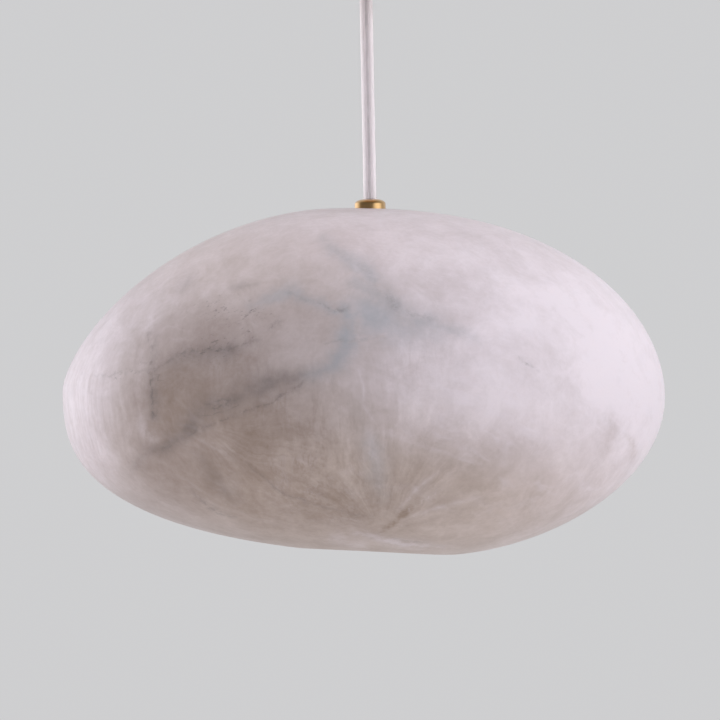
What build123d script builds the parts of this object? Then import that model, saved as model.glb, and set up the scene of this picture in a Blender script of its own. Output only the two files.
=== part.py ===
from build123d import *
from math import hypot, radians, sin, sqrt, tan
import os

# Alabaster pendant light: a hollow stone pebble that hangs on a clear cord from a ceiling canopy.
# Millimetres, +Z up. The origin is the middle of the bracket's upper face, on the ceiling.
# +X is the viewer's right and -Y is towards the viewer.

# Stone outline, measured from the collar's seat
stone_left = 155.5
stone_right = 144.85
stone_front = 118.0
stone_back = 122.0
stone_crown = 0.79
stone_foot = 172.7
crown_x = -20.0
foot_x = 35.0
left_level = -87.7
right_level = -95.4
front_level = -90.0
back_level = -96.0
# How full each quarter of the outline is: the power on the reach, then the power on the height
upper_left_fullness = (1.82, 1.51)
upper_right_fullness = (2.37, 1.93)
lower_left_fullness = (2.06, 2.78)
lower_right_fullness = (1.77, 2.01)
upper_depth_fullness = (2.0, 1.9)
lower_depth_fullness = (2.6, 2.4)
stone_sections = 13
cap_angle = 85.5
quarter_turn = 90.0
half_turn = 180.0

# Hollow of the stone
roof_thickness = 16.0
roof_flat_d = 72.0
hollow_d = 212.0
hollow_level = -92.0
floor_level = -160.0
floor_flat_d = 70.0
hollow_x = -3.2
hollow_y = 2.55
mouth_d = 84.0

# Cord
cord_d = 6.75
core_d = 2.2
core_gap = 0.1
wire_gap = 0.6
core_y = 0.35
wire_d = 1.3
bundle_clearance = 0.05
cord_drop = 105.5
cord_clearance = 0.3
bend_length = 4.5
swing_angle = 12.0
flare_clearance = 0.4

# Threads and plain clearances
thread_d = 10.0
thread_clearance = 0.05
nipple_hole_clearance = 0.3
screw_clearance = 0.05
wire_hole_clearance = 0.05

# Ceiling bracket
strap_width = 24.0
strap_thickness = 2.5
strap_span = 108.0
bridge_span = 54.0
bridge_drop = 20.0
strap_bend = 4.0
slot_spacing = 82.0
slot_length = 16.0
slot_width = 5.0
bracket_nut_flats = 14.0
bracket_nut_height = 4.0
nipple_stand = 1.0
earth_screw_d = 4.0
earth_screw_x = -15.0
earth_head_d = 7.2
earth_head_height = 2.4
earth_screw_tail = 2.0

# Wire stops
upper_stop_d = 13.0
upper_stop_height = 5.5
lower_stop_d = 13.0
lower_stop_height = 5.5
stop_screw_d = 3.0
wire_tail = 1.5

# Terminal block
block_length = 11.0
block_width = 18.0
block_height = 18.0
block_gap = 2.2
lead_rise = 3.2
lead_bend = 2.4
lead_grip = 6.0
pole_pitch = 6.4
clamp_d = 4.4
clamp_wall = 0.8
terminal_screw_d = 2.6
terminal_screw_inset = 2.6
terminal_screw_sink = 1.0
fixing_screw_d = 3.0
fixing_head_d = 5.0
fixing_head_height = 2.0
fixing_inset = 3.0

# Canopy
canopy_d = 120.0
canopy_height = 32.0
canopy_sheet = 1.2
canopy_edge = 6.0
canopy_collar_d = 18.0
canopy_collar_height = 14.0
canopy_collar_grip = 7.0
canopy_collar_edge = 1.6
mouth_lip = 0.9

# Brass collar on the stone and what clamps the stone
collar_d = 15.6
collar_height = 5.0
collar_edge = 2.3
collar_lip = 1.4
gasket_d = 13.4
gasket_height = 0.8
gasket_clearance = 0.1
seat_clearance = 0.6
crown_hole_clearance = 0.5
pad_d = 60.0
pad_height = 2.0
load_plate_d = 68.0
load_plate_height = 3.0
plate_nut_flats = 17.0
plate_nut_height = 5.0
nipple_tail = 3.0

# Lamp plate on its posts
post_circle_d = 54.0
post_d = 8.0
post_length = 30.0
post_stud_d = 4.0
post_tap_depth = 10.0
plate_screw_d = 4.0
plate_screw_length = 8.0
plate_head_d = 7.6
plate_head_height = 2.6
lamp_plate_d = 84.0
lamp_plate_sheet = 1.5
lamp_plate_rim = 6.0
lamp_plate_edge = 3.0

# Lampholders and their wiring
lamp_count = 3
lamp_circle_d = 48.0
holder_length = 18.0
holder_width = 13.0
holder_height = 20.0
holder_corner = 3.0
flange_margin = 3.2
flange_height = 4.0
holder_head_gap = 0.6
holder_screw_d = 3.0
holder_head_d = 5.4
holder_head_height = 1.8
pin_pitch = 9.0
pin_hole_d = 2.6
pin_hole_depth = 14.0
contact_d = 2.5
contact_wall = 0.4
contact_length = 11.0
lead_d = 1.6
lead_pitch = 5.0
lead_hole_depth = 5.0
lead_level = 2.6
lead_turn = 2.0
lead_inner_d = 12.0
connector_length = 11.0
connector_width = 8.0
connector_height = 9.0
connector_drop = 3.0
connector_grip = 4.0

# Two-pin lamps
lamp_base_d = 15.6
lamp_base_top_d = 13.6
lamp_base_height = 10.0
pin_d = 1.2
pin_length = 12.0
cover_d = 14.8
cover_length = 28.0
cover_wall = 0.9
board_width = 7.0
board_thickness = 1.6
board_length = 20.0

# Levels that follow
bridge_top = -bridge_drop
bridge_bottom = bridge_top - strap_thickness
upper_nipple_top = bridge_top + bracket_nut_height + nipple_stand
upper_nipple_bottom = -canopy_height - canopy_collar_grip
upper_stop_top = upper_nipple_top + upper_stop_height
lead_turn_level = upper_stop_top + lead_rise
collar_mouth = -canopy_height - canopy_collar_height
side_pivot = upper_nipple_bottom
front_pivot = side_pivot - bend_length
collar_top = collar_mouth - cord_drop
seat = collar_top - collar_height
roof = seat - roof_thickness
pad_bottom = roof - pad_height
load_plate_bottom = pad_bottom - load_plate_height
plate_nut_bottom = load_plate_bottom - plate_nut_height
lower_nipple_bottom = plate_nut_bottom - nipple_tail
lower_stop_bottom = lower_nipple_bottom - lower_stop_height
connector_top = lower_stop_bottom - connector_drop
lamp_plate_top = load_plate_bottom - post_length
lamp_plate_bottom = lamp_plate_top - lamp_plate_sheet
holder_bottom = lamp_plate_bottom - holder_height
base_bottom = holder_bottom - lamp_base_height
holder_screw_y = holder_length / 2 + holder_head_gap + holder_head_d / 2
flange_length = 2 * (holder_screw_y + flange_margin)

# Radii that follow
cord_r = cord_d / 2
core_r = core_d / 2
wire_r = wire_d / 2
thread_r = thread_d / 2
nipple_r = thread_r - thread_clearance
nipple_bore = cord_r + cord_clearance
nipple_hole = thread_r + nipple_hole_clearance
core_x = (core_d + core_gap) / 2
wire_y = core_y - sqrt((core_r + wire_r + wire_gap) ** 2 - core_x**2)
bundle_bore = max(hypot(core_x, core_y) + core_r, wire_r - wire_y) + bundle_clearance


def rod(radius, low, high, x=0.0, y=0.0):
    """An upright round bar between two levels."""
    bar = Cylinder(radius, high - low, align=(Align.CENTER, Align.CENTER, Align.MIN))
    return Pos(x, y, low) * bar


def tube(outer, inner, low, high):
    """An upright round tube on the middle axis."""
    return rod(outer, low, high) - rod(inner, low, high)


def slab(length, width, low, high, x=0.0, y=0.0):
    """An upright box between two levels."""
    box = Box(length, width, high - low, align=(Align.CENTER, Align.CENTER, Align.MIN))
    return Pos(x, y, low) * box


def hex_nut(flats, hole, low, high):
    """A hexagon nut on the middle axis."""
    hexagon = RegularPolygon(flats / 2, 6, major_radius=False)
    return Pos(0, 0, low) * extrude(hexagon, high - low) - rod(hole, low, high)


def turned(outline):
    """A turned piece from a closed outline in radius and height."""
    return revolve(make_face(Plane.XZ * outline), Axis.Z)


def spread(shape, count, first=0.0):
    """Copies of a piece, evenly round the middle axis."""
    return [Rot(0, 0, first + 360 * i / count) * shape for i in range(count)]


def wire_run(points, radius, bend):
    """A round lead along straight stretches with rounded bends."""
    path = FilletPolyline(*points, radius=bend)
    return sweep(Plane(path @ 0, z_dir=path % 0) * Circle(radius), path)


def quarter_reach(level, side_level, tip_level, fullness):
    """Share of the full reach that one quarter of the outline has at a level."""
    power, height_power = fullness
    share = (level - side_level) / (tip_level - side_level)
    return (1 - share**height_power) ** (1 / power)


def stone_reach(level, side_level, upper, lower):
    """Share of the full reach at a level, from the upper or the lower quarter."""
    if level > side_level:
        return quarter_reach(level, side_level, stone_crown, upper)
    return quarter_reach(level, side_level, -stone_foot, lower)


def stone_section(level):
    """One level oval of the stone: four quarter ellipses round a leaning spine."""
    rise = (level + stone_foot) / (stone_crown + stone_foot)
    spine = foot_x + (crown_x - foot_x) * rise
    tip_x = crown_x if level > left_level else foot_x
    left = tip_x - (tip_x + stone_left) * stone_reach(
        level, left_level, upper_left_fullness, lower_left_fullness
    )
    tip_x = crown_x if level > right_level else foot_x
    right = tip_x + (stone_right - tip_x) * stone_reach(
        level, right_level, upper_right_fullness, lower_right_fullness
    )
    front = stone_front * stone_reach(
        level, front_level, upper_depth_fullness, lower_depth_fullness
    )
    back = stone_back * stone_reach(
        level, back_level, upper_depth_fullness, lower_depth_fullness
    )
    arcs = [
        EllipticalCenterArc((spine, 0), right - spine, back, 0, arc_size=quarter_turn),
        EllipticalCenterArc((spine, 0), spine - left, back, quarter_turn, arc_size=quarter_turn),
        EllipticalCenterArc((spine, 0), spine - left, front, half_turn, arc_size=quarter_turn),
        EllipticalCenterArc((spine, 0), right - spine, front, -quarter_turn, arc_size=quarter_turn),
    ]
    return Pos(0, 0, seat + level) * make_face(arcs)


def stone_body():
    """The solid pebble, lofted through its ovals."""
    middle = (stone_crown - stone_foot) / 2
    half = (stone_crown + stone_foot) / 2
    sections = []
    for i in range(stone_sections):
        angle = cap_angle * (2 * i / (stone_sections - 1) - 1)
        sections.append(stone_section(middle + half * sin(radians(angle))))
    return loft(sections)


def hollow():
    """The turned hollow: flat roof, round side and a floor that falls into the mouth."""
    roof_r = roof_flat_d / 2
    floor_r = floor_flat_d / 2
    side_r = hollow_d / 2
    level = seat + hollow_level
    floor = seat + floor_level
    upper = EllipticalCenterArc(
        (roof_r, level), side_r - roof_r, roof - level, 0, arc_size=quarter_turn
    )
    lower = EllipticalCenterArc(
        (floor_r, level), side_r - floor_r, level - floor, -quarter_turn, arc_size=quarter_turn
    )
    outline = [
        upper,
        Line((roof_r, roof), (0, roof)),
        Line((0, roof), (0, floor)),
        Line((0, floor), (floor_r, floor)),
        lower,
    ]
    return Pos(hollow_x, hollow_y, 0) * turned(Curve() + outline)


def alabaster_shade():
    """The stone with its hollow, mouth, drilled crown and ground seat for the collar."""
    deep = seat - 2 * stone_foot
    stone = stone_body() - hollow() - rod(mouth_d / 2, deep, seat + hollow_level)
    stone -= rod(thread_r + crown_hole_clearance, roof - roof_thickness, seat + collar_height)
    stone -= rod(collar_d / 2 + seat_clearance, seat, seat + collar_height)
    return stone


def top_collar():
    """Turned brass collar: round shoulder, lip round the cord, thread and gasket recess."""
    r = collar_d / 2
    recess = gasket_d / 2
    outline = Polyline(
        (nipple_bore, collar_top),
        (r - collar_edge, collar_top),
    )
    outline += RadiusArc((r - collar_edge, collar_top), (r, collar_top - collar_edge), collar_edge)
    outline += Polyline(
        (r, collar_top - collar_edge),
        (r, seat),
        (recess, seat),
        (recess, seat + gasket_height),
        (thread_r, seat + gasket_height),
        (thread_r, collar_top - collar_lip),
        (nipple_bore, collar_top - collar_lip),
        (nipple_bore, collar_top),
    )
    return turned(outline)


def collar_gasket():
    """Soft washer in the collar's foot."""
    outer = gasket_d / 2 - gasket_clearance
    return tube(outer, thread_r + gasket_clearance, seat, seat + gasket_height)


def threaded_nipple():
    """Hollow rod that ties the collar to the load plate."""
    return tube(nipple_r, nipple_bore, lower_nipple_bottom, collar_top - collar_lip)


def roof_pad():
    """Rubber disc between the stone's roof and the load plate."""
    return tube(pad_d / 2, nipple_hole, pad_bottom, roof)


def load_plate():
    """Steel disc that carries the stone, drilled for the three posts."""
    plate = tube(load_plate_d / 2, nipple_hole, load_plate_bottom, pad_bottom)
    hole = rod(
        post_stud_d / 2 + screw_clearance, load_plate_bottom, pad_bottom, post_circle_d / 2
    )
    return plate - spread(hole, lamp_count, 180 / lamp_count)


def plate_nut():
    """Nut that clamps the stone between the load plate and the collar."""
    return hex_nut(plate_nut_flats, thread_r, plate_nut_bottom, load_plate_bottom)


def plate_spacers():
    """Three posts, each with a stud on top and a tapped foot."""
    x = post_circle_d / 2
    post = rod(post_d / 2, lamp_plate_top, load_plate_bottom, x)
    post += rod(post_stud_d / 2, load_plate_bottom, pad_bottom, x)
    post -= rod(
        plate_screw_d / 2 + screw_clearance, lamp_plate_top, lamp_plate_top + post_tap_depth, x
    )
    return Compound(children=spread(post, lamp_count, 180 / lamp_count))


def plate_screws():
    """Three pan-head screws that hold the lamp plate to its posts."""
    x = post_circle_d / 2
    screw = rod(plate_screw_d / 2, lamp_plate_bottom, lamp_plate_top + plate_screw_length, x)
    head = rod(plate_head_d / 2, lamp_plate_bottom - plate_head_height, lamp_plate_bottom, x)
    head = fillet(head.edges().group_by(Axis.Z)[0], plate_head_height / 2)
    return Compound(children=spread(screw + head, lamp_count, 180 / lamp_count))


def lamp_plate():
    """White dish with an upturned rim, drilled for screws and leads."""
    r = lamp_plate_d / 2
    inner_edge = lamp_plate_edge - lamp_plate_sheet
    rim = lamp_plate_bottom + lamp_plate_rim
    outline = Polyline((0, lamp_plate_bottom), (r - lamp_plate_edge, lamp_plate_bottom))
    outline += RadiusArc(
        (r - lamp_plate_edge, lamp_plate_bottom),
        (r, lamp_plate_bottom + lamp_plate_edge),
        -lamp_plate_edge,
    )
    outline += Polyline(
        (r, lamp_plate_bottom + lamp_plate_edge),
        (r, rim),
        (r - lamp_plate_sheet, rim),
        (r - lamp_plate_sheet, lamp_plate_top + inner_edge),
    )
    outline += RadiusArc(
        (r - lamp_plate_sheet, lamp_plate_top + inner_edge),
        (r - lamp_plate_edge, lamp_plate_top),
        inner_edge,
    )
    outline += Polyline(
        (r - lamp_plate_edge, lamp_plate_top), (0, lamp_plate_top), (0, lamp_plate_bottom)
    )
    plate = turned(outline)
    low, high = lamp_plate_bottom, lamp_plate_top
    screw_hole = rod(plate_screw_d / 2 + screw_clearance, low, high, post_circle_d / 2)
    plate -= spread(screw_hole, lamp_count, 180 / lamp_count)
    x = lamp_circle_d / 2
    for y in (-1, 1):
        lead_hole = rod(lead_d / 2 + screw_clearance, low, high, x, y * lead_pitch / 2)
        tapped = rod(
            holder_screw_d / 2 + screw_clearance, low, high, x, y * holder_screw_y
        )
        plate -= spread(lead_hole, lamp_count) + spread(tapped, lamp_count)
    return plate


def lampholder():
    """One ceramic two-pin holder: flange, body, pin holes and lead holes."""
    x = lamp_circle_d / 2
    flange = slab(holder_width, flange_length, lamp_plate_bottom - flange_height, lamp_plate_bottom, x)
    flange = fillet(flange.edges().filter_by(Axis.Z), holder_corner)
    body = slab(holder_width, holder_length, holder_bottom, lamp_plate_bottom - flange_height, x)
    body = fillet(body.edges().filter_by(Axis.Z), holder_corner)
    holder = flange + body
    for y in (-1, 1):
        holder -= rod(
            pin_hole_d / 2, holder_bottom, holder_bottom + pin_hole_depth, x, y * pin_pitch / 2
        )
        holder -= rod(
            holder_screw_d / 2 + screw_clearance,
            lamp_plate_bottom - flange_height,
            lamp_plate_bottom,
            x,
            y * holder_screw_y,
        )
        holder -= rod(
            lead_d / 2 + screw_clearance,
            lamp_plate_bottom - lead_hole_depth,
            lamp_plate_bottom,
            x,
            y * lead_pitch / 2,
        )
    return holder


def holder_screws():
    """Two small screws for each holder."""
    screws = []
    under = lamp_plate_bottom - flange_height
    for y in (-1, 1):
        place = (lamp_circle_d / 2, y * holder_screw_y)
        head = rod(holder_head_d / 2, under - holder_head_height, under, *place)
        head = fillet(head.edges().group_by(Axis.Z)[0], holder_head_height / 2)
        screws += spread(head + rod(holder_screw_d / 2, under, lamp_plate_top, *place), lamp_count)
    return Compound(children=screws)


def holder_contacts():
    """A brass sleeve for each lamp pin, at the bottom of its hole."""
    sleeves = []
    high = holder_bottom + pin_hole_depth
    for y in (-1, 1):
        sleeve = tube(contact_d / 2, contact_d / 2 - contact_wall, high - contact_length, high)
        sleeves += spread(Pos(lamp_circle_d / 2, y * pin_pitch / 2, 0) * sleeve, lamp_count)
    return Compound(children=sleeves)


def holder_leads():
    """Two leads from each holder, along the plate to just under the connector."""
    leads = []
    x = lamp_circle_d / 2
    level = lamp_plate_top + lead_level
    for y in (-1, 1):
        side = y * lead_pitch / 2
        points = [
            (x, side, lamp_plate_bottom - lead_hole_depth),
            (x, side, level),
            (lead_inner_d / 2, side, level),
        ]
        leads += spread(wire_run(points, lead_d / 2, lead_turn), lamp_count)
    return Compound(children=leads)


def lamp_base(x):
    """White base of a two-pin lamp, a little narrower at the pins."""
    profile = Polyline(
        (0, base_bottom),
        (lamp_base_d / 2, base_bottom),
        (lamp_base_d / 2, base_bottom + lamp_base_height / 2),
        (lamp_base_top_d / 2, holder_bottom),
        (0, holder_bottom),
        close=True,
    )
    return Pos(x, 0, 0) * turned(profile)


def lamp_pins(x):
    """The two pins of a lamp."""
    pins = []
    for y in (-1, 1):
        pin = rod(pin_d / 2, holder_bottom, holder_bottom + pin_length, x, y * pin_pitch / 2)
        pins.append(fillet(pin.edges().group_by(Axis.Z)[-1], pin_d / 3))
    return Compound(children=pins)


def lamp_cover(x):
    """Frosted cover of a lamp: a tube with a round end."""
    r = cover_d / 2
    inner = r - cover_wall
    waist = base_bottom - cover_length + r
    outline = Polyline((inner, base_bottom), (r, base_bottom), (r, waist))
    outline += CenterArc((0, waist), r, 0, -90)
    outline += Line((0, waist - r), (0, waist - inner))
    outline += CenterArc((0, waist), inner, -90, 90)
    outline += Line((inner, waist), (inner, base_bottom))
    return Pos(x, 0, 0) * turned(outline)


def lamp_board(x):
    """Light board that stands inside the cover."""
    return slab(board_thickness, board_width, base_bottom - board_length, base_bottom, x)


def cord_piece(low, high):
    """A stretch of clear jacket."""
    return tube(cord_r, bundle_bore, low, high)


def core_rods(low, high):
    """Straight stretches of the two cores."""
    return [rod(core_r, low, high, side * core_x, core_y) for side in (-1, 1)]


def core_slot(low, high):
    """The slot that the two cores pass through side by side."""
    width = core_d + 2 * bundle_clearance
    slot = SlotOverall(2 * core_x + width, width)
    return Pos(0, core_y, low) * extrude(slot, high - low)


def ball(level, radius):
    """A ball on the cord's axis, for the rounded and hollowed ends of a flexing stretch."""
    return Pos(0, 0, level) * Sphere(radius)


def rounded_head(shapes, level):
    """Pieces of cord whose upper end is a dome about a flexing point."""
    keep = ball(level, cord_r) + rod(cord_d, lower_stop_bottom - cord_drop, level)
    return [shape & keep for shape in shapes]


def suspension_cord():
    """Clear jacket from the ceiling collar to the stop under the stone's crown."""
    return rounded_head([cord_piece(lower_nipple_bottom, front_pivot + cord_d)], front_pivot)[0]


def cord_cores():
    """The two cores, into the connector."""
    cores = core_rods(connector_top - connector_grip, front_pivot + cord_d)
    return Compound(children=rounded_head(cores, front_pivot))


def suspension_wire():
    """The steel wire that carries the stone."""
    wire = rod(wire_r, lower_stop_bottom - wire_tail, front_pivot + cord_d, 0, wire_y)
    return rounded_head([wire], front_pivot)[0]


def wire_stop(diameter, low, high):
    """A round block with holes for the cores, the wire and its clamping screw."""
    block = rod(diameter / 2, low, high) - rod(wire_r + wire_hole_clearance, low, high, 0, wire_y)
    block -= core_slot(low, high)
    screw_hole = Cylinder(
        stop_screw_d / 2 + screw_clearance, diameter, align=(Align.CENTER, Align.CENTER, Align.MIN)
    )
    return block - Pos(0, wire_y, (low + high) / 2) * Rot(90, 0, 0) * screw_hole


def stop_screw(diameter, low, high):
    """Headless screw from the stop's front face to the wire."""
    length = diameter / 2 + wire_y - wire_r
    screw = Cylinder(stop_screw_d / 2, length, align=(Align.CENTER, Align.CENTER, Align.MIN))
    return Pos(0, wire_y - wire_r, (low + high) / 2) * Rot(90, 0, 0) * screw


def cord_connector():
    """White push-in connector on the ends of the cores."""
    block = slab(connector_length, connector_width, connector_top - connector_height, connector_top)
    return block - core_slot(connector_top - connector_grip, connector_top)


def ceiling_bracket():
    """Hat-shaped steel strap: slotted feet on the ceiling and a dropped bridge."""
    half = strap_span / 2
    knee = bridge_span / 2
    foot_level = -strap_thickness / 2
    bridge_level = bridge_top - strap_thickness / 2
    line = FilletPolyline(
        (-half, foot_level),
        (-knee, foot_level),
        (-knee, bridge_level),
        (knee, bridge_level),
        (knee, foot_level),
        (half, foot_level),
        radius=strap_bend,
    )
    strap = extrude(Plane.XZ * trace(line, strap_thickness), strap_width / 2, both=True)
    for side in (-1, 1):
        slot = SlotOverall(slot_length, slot_width)
        strap -= Pos(side * slot_spacing / 2, 0, 0) * extrude(slot, -strap_thickness)
    strap -= rod(nipple_hole, bridge_bottom, bridge_top)
    strap -= rod(earth_screw_d / 2 + screw_clearance, bridge_bottom, bridge_top, earth_screw_x)
    x, y = fixing_place()
    return strap - rod(fixing_screw_d / 2 + screw_clearance, bridge_bottom, bridge_top, x, y)


def bracket_nipple():
    """Hollow rod that hangs the light from the bridge."""
    return tube(nipple_r, nipple_bore, upper_nipple_bottom, upper_nipple_top)


def bracket_nuts():
    """A nut above and a nut below the bridge."""
    upper = hex_nut(bracket_nut_flats, thread_r, bridge_top, bridge_top + bracket_nut_height)
    lower = hex_nut(bracket_nut_flats, thread_r, bridge_bottom - bracket_nut_height, bridge_bottom)
    return Compound(children=[upper, lower])


def earth_screw():
    """Pan-head screw for the earth lead."""
    shank = rod(earth_screw_d / 2, bridge_bottom - earth_screw_tail, bridge_top, earth_screw_x)
    head = rod(earth_head_d / 2, bridge_top, bridge_top + earth_head_height, earth_screw_x)
    return shank + fillet(head.edges().group_by(Axis.Z)[-1], earth_head_height / 2)


def block_start():
    """Where the terminal block begins, beside the wire stop."""
    return max(upper_stop_d / 2, bracket_nut_flats / sqrt(3)) + block_gap


def pole_places():
    """The two rows of the terminal block: one in line with a core, one beside it."""
    return [core_y, core_y + pole_pitch]


def fixing_place():
    """Where the terminal block is screwed to the bridge."""
    return block_start() + block_length / 2, core_y - pole_pitch / 2 - fixing_inset / 2


def terminal_screw_places():
    """Four clamping screws: two in each row."""
    ends = (block_start() + terminal_screw_inset, block_start() + block_length - terminal_screw_inset)
    return [(x, y) for x in ends for y in pole_places()]


def terminal_block():
    """White two-way terminal block on the bridge."""
    middle = block_start() + block_length / 2
    top = bridge_top + block_height
    block = slab(block_length, block_width, bridge_top, top, middle, core_y)
    for y in pole_places():
        bore = Pos(middle, y, lead_turn_level) * Rot(0, 90, 0)
        block -= bore * Cylinder(clamp_d / 2 + screw_clearance, block_length)
    for x, y in terminal_screw_places():
        block -= rod(terminal_screw_d / 2 + screw_clearance, lead_turn_level, top, x, y)
    x, y = fixing_place()
    block -= rod(fixing_screw_d / 2 + screw_clearance, bridge_top, top, x, y)
    return block - rod(fixing_head_d / 2 + screw_clearance, top - fixing_head_height, top, x, y)


def terminal_clamps():
    """The brass tubes that the leads are clamped in."""
    middle = block_start() + block_length / 2
    tubes = []
    for y in pole_places():
        brass = Cylinder(clamp_d / 2, block_length) - Cylinder(clamp_d / 2 - clamp_wall, block_length)
        brass = Pos(middle, y, lead_turn_level) * Rot(0, 90, 0) * brass
        for x, place in terminal_screw_places():
            if place == y:
                brass -= rod(
                    terminal_screw_d / 2 + screw_clearance,
                    lead_turn_level,
                    lead_turn_level + clamp_d,
                    x,
                    y,
                )
        tubes.append(brass)
    return Compound(children=tubes)


def terminal_screws():
    """The clamping screws, down to the leads."""
    low = lead_turn_level + core_r
    high = bridge_top + block_height - terminal_screw_sink
    screws = [rod(terminal_screw_d / 2, low, high, x, y) for x, y in terminal_screw_places()]
    return Compound(children=screws)


def terminal_fixing_screw():
    """Screw that holds the terminal block to the bridge."""
    x, y = fixing_place()
    top = bridge_top + block_height
    head = rod(fixing_head_d / 2, top - fixing_head_height, top, x, y)
    return head + rod(fixing_screw_d / 2, bridge_bottom, top - fixing_head_height, x, y)


def hollowed_foot(shapes, level):
    """Pieces of cord whose lower end is hollowed about a flexing point."""
    return [shape - ball(level, cord_r + cord_clearance) for shape in shapes]


def cord_head():
    """The clamped end of the jacket, inside the bracket's nipple."""
    return hollowed_foot([cord_piece(side_pivot, upper_nipple_top)], side_pivot)[0]


def feed_leads():
    """The two cores from the cord's clamped end to the terminal block."""
    entry = block_start() + lead_grip
    near, far = pole_places()
    straight = [(core_x, core_y, side_pivot), (core_x, core_y, lead_turn_level), (entry, near, lead_turn_level)]
    around = [
        (-core_x, core_y, side_pivot),
        (-core_x, core_y, lead_turn_level),
        (-core_x, far, lead_turn_level),
        (entry, far, lead_turn_level),
    ]
    leads = [wire_run(points, core_r, lead_bend) for points in (straight, around)]
    return Compound(children=hollowed_foot(leads, side_pivot))


def head_wire():
    """The steel wire in the cord's clamped end."""
    wire = rod(wire_r, side_pivot, upper_stop_top + wire_tail, 0, wire_y)
    return hollowed_foot([wire], side_pivot)[0]


def cord_bend():
    """The short flexing stretch of cord in the flared mouth."""
    stretch = rod(cord_r, front_pivot, side_pivot) + ball(side_pivot, cord_r)
    return hollowed_foot([stretch], front_pivot)[0]


def canopy_cover():
    """Spun brass cup with a round lower edge."""
    r = canopy_d / 2
    low = -canopy_height
    inner_edge = canopy_edge - canopy_sheet
    outline = Polyline((nipple_hole, low), (r - canopy_edge, low))
    outline += RadiusArc((r - canopy_edge, low), (r, low + canopy_edge), -canopy_edge)
    outline += Polyline(
        (r, low + canopy_edge), (r, 0), (r - canopy_sheet, 0), (r - canopy_sheet, low + canopy_edge)
    )
    outline += RadiusArc(
        (r - canopy_sheet, low + canopy_edge), (r - canopy_edge, low + canopy_sheet), inner_edge
    )
    outline += Polyline(
        (r - canopy_edge, low + canopy_sheet), (nipple_hole, low + canopy_sheet), (nipple_hole, low)
    )
    return turned(outline)


def canopy_collar():
    """Brass nut under the canopy, with a mouth that flares for the swinging cord."""
    r = canopy_collar_d / 2
    flare_depth = side_pivot - collar_mouth
    swing = tan(radians(swing_angle))
    throat = cord_r + flare_clearance
    mouth = throat + swing * (flare_depth + flare_depth - bend_length)
    outline = Polyline(
        (thread_r, -canopy_height),
        (r, -canopy_height),
        (r, collar_mouth + canopy_collar_edge),
    )
    outline += RadiusArc(
        (r, collar_mouth + canopy_collar_edge), (r - canopy_collar_edge, collar_mouth), canopy_collar_edge
    )
    outline += Polyline(
        (r - canopy_collar_edge, collar_mouth),
        (mouth + mouth_lip, collar_mouth),
        (mouth, collar_mouth + mouth_lip),
        (throat, side_pivot),
        (thread_r, side_pivot),
        (thread_r, -canopy_height),
    )
    return turned(outline)


upper_stop = (upper_stop_d, upper_nipple_top, upper_stop_top)
lower_stop = (lower_stop_d, lower_stop_bottom, lower_nipple_bottom)
pieces = {
    "ceiling_bracket": ceiling_bracket(),
    "bracket_nipple": bracket_nipple(),
    "bracket_nuts": bracket_nuts(),
    "upper_wire_stop": wire_stop(*upper_stop),
    "upper_stop_screw": stop_screw(*upper_stop),
    "cord_head": cord_head(),
    "feed_leads": feed_leads(),
    "head_wire": head_wire(),
    "terminal_block": terminal_block(),
    "terminal_clamps": terminal_clamps(),
    "terminal_screws": terminal_screws(),
    "terminal_fixing_screw": terminal_fixing_screw(),
    "earth_screw": earth_screw(),
    "canopy_cover": canopy_cover(),
    "canopy_collar": canopy_collar(),
    "cord_bend": cord_bend(),
    "suspension_cord": suspension_cord(),
    "cord_cores": cord_cores(),
    "suspension_wire": suspension_wire(),
    "lower_wire_stop": wire_stop(*lower_stop),
    "lower_stop_screw": stop_screw(*lower_stop),
    "cord_connector": cord_connector(),
    "top_collar": top_collar(),
    "collar_gasket": collar_gasket(),
    "threaded_nipple": threaded_nipple(),
    "alabaster_shade": alabaster_shade(),
    "roof_pad": roof_pad(),
    "load_plate": load_plate(),
    "plate_nut": plate_nut(),
    "plate_spacers": plate_spacers(),
    "lamp_plate": lamp_plate(),
    "plate_screws": plate_screws(),
    "lampholders": Compound(children=spread(lampholder(), lamp_count)),
    "holder_screws": holder_screws(),
    "holder_contacts": holder_contacts(),
    "holder_leads": holder_leads(),
}
lamp_pieces = {"base": lamp_base, "pins": lamp_pins, "cover": lamp_cover, "board": lamp_board}
for number in range(lamp_count):
    turn = Rot(0, 0, 360 * number / lamp_count)
    for name, make in lamp_pieces.items():
        pieces[f"lamp_{number + 1}_{name}"] = turn * make(lamp_circle_d / 2)

os.makedirs("parts", exist_ok=True)
for name, shape in pieces.items():
    export_step(shape, f"parts/{name}.step")
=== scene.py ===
import math
from functools import partialmethod

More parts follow.
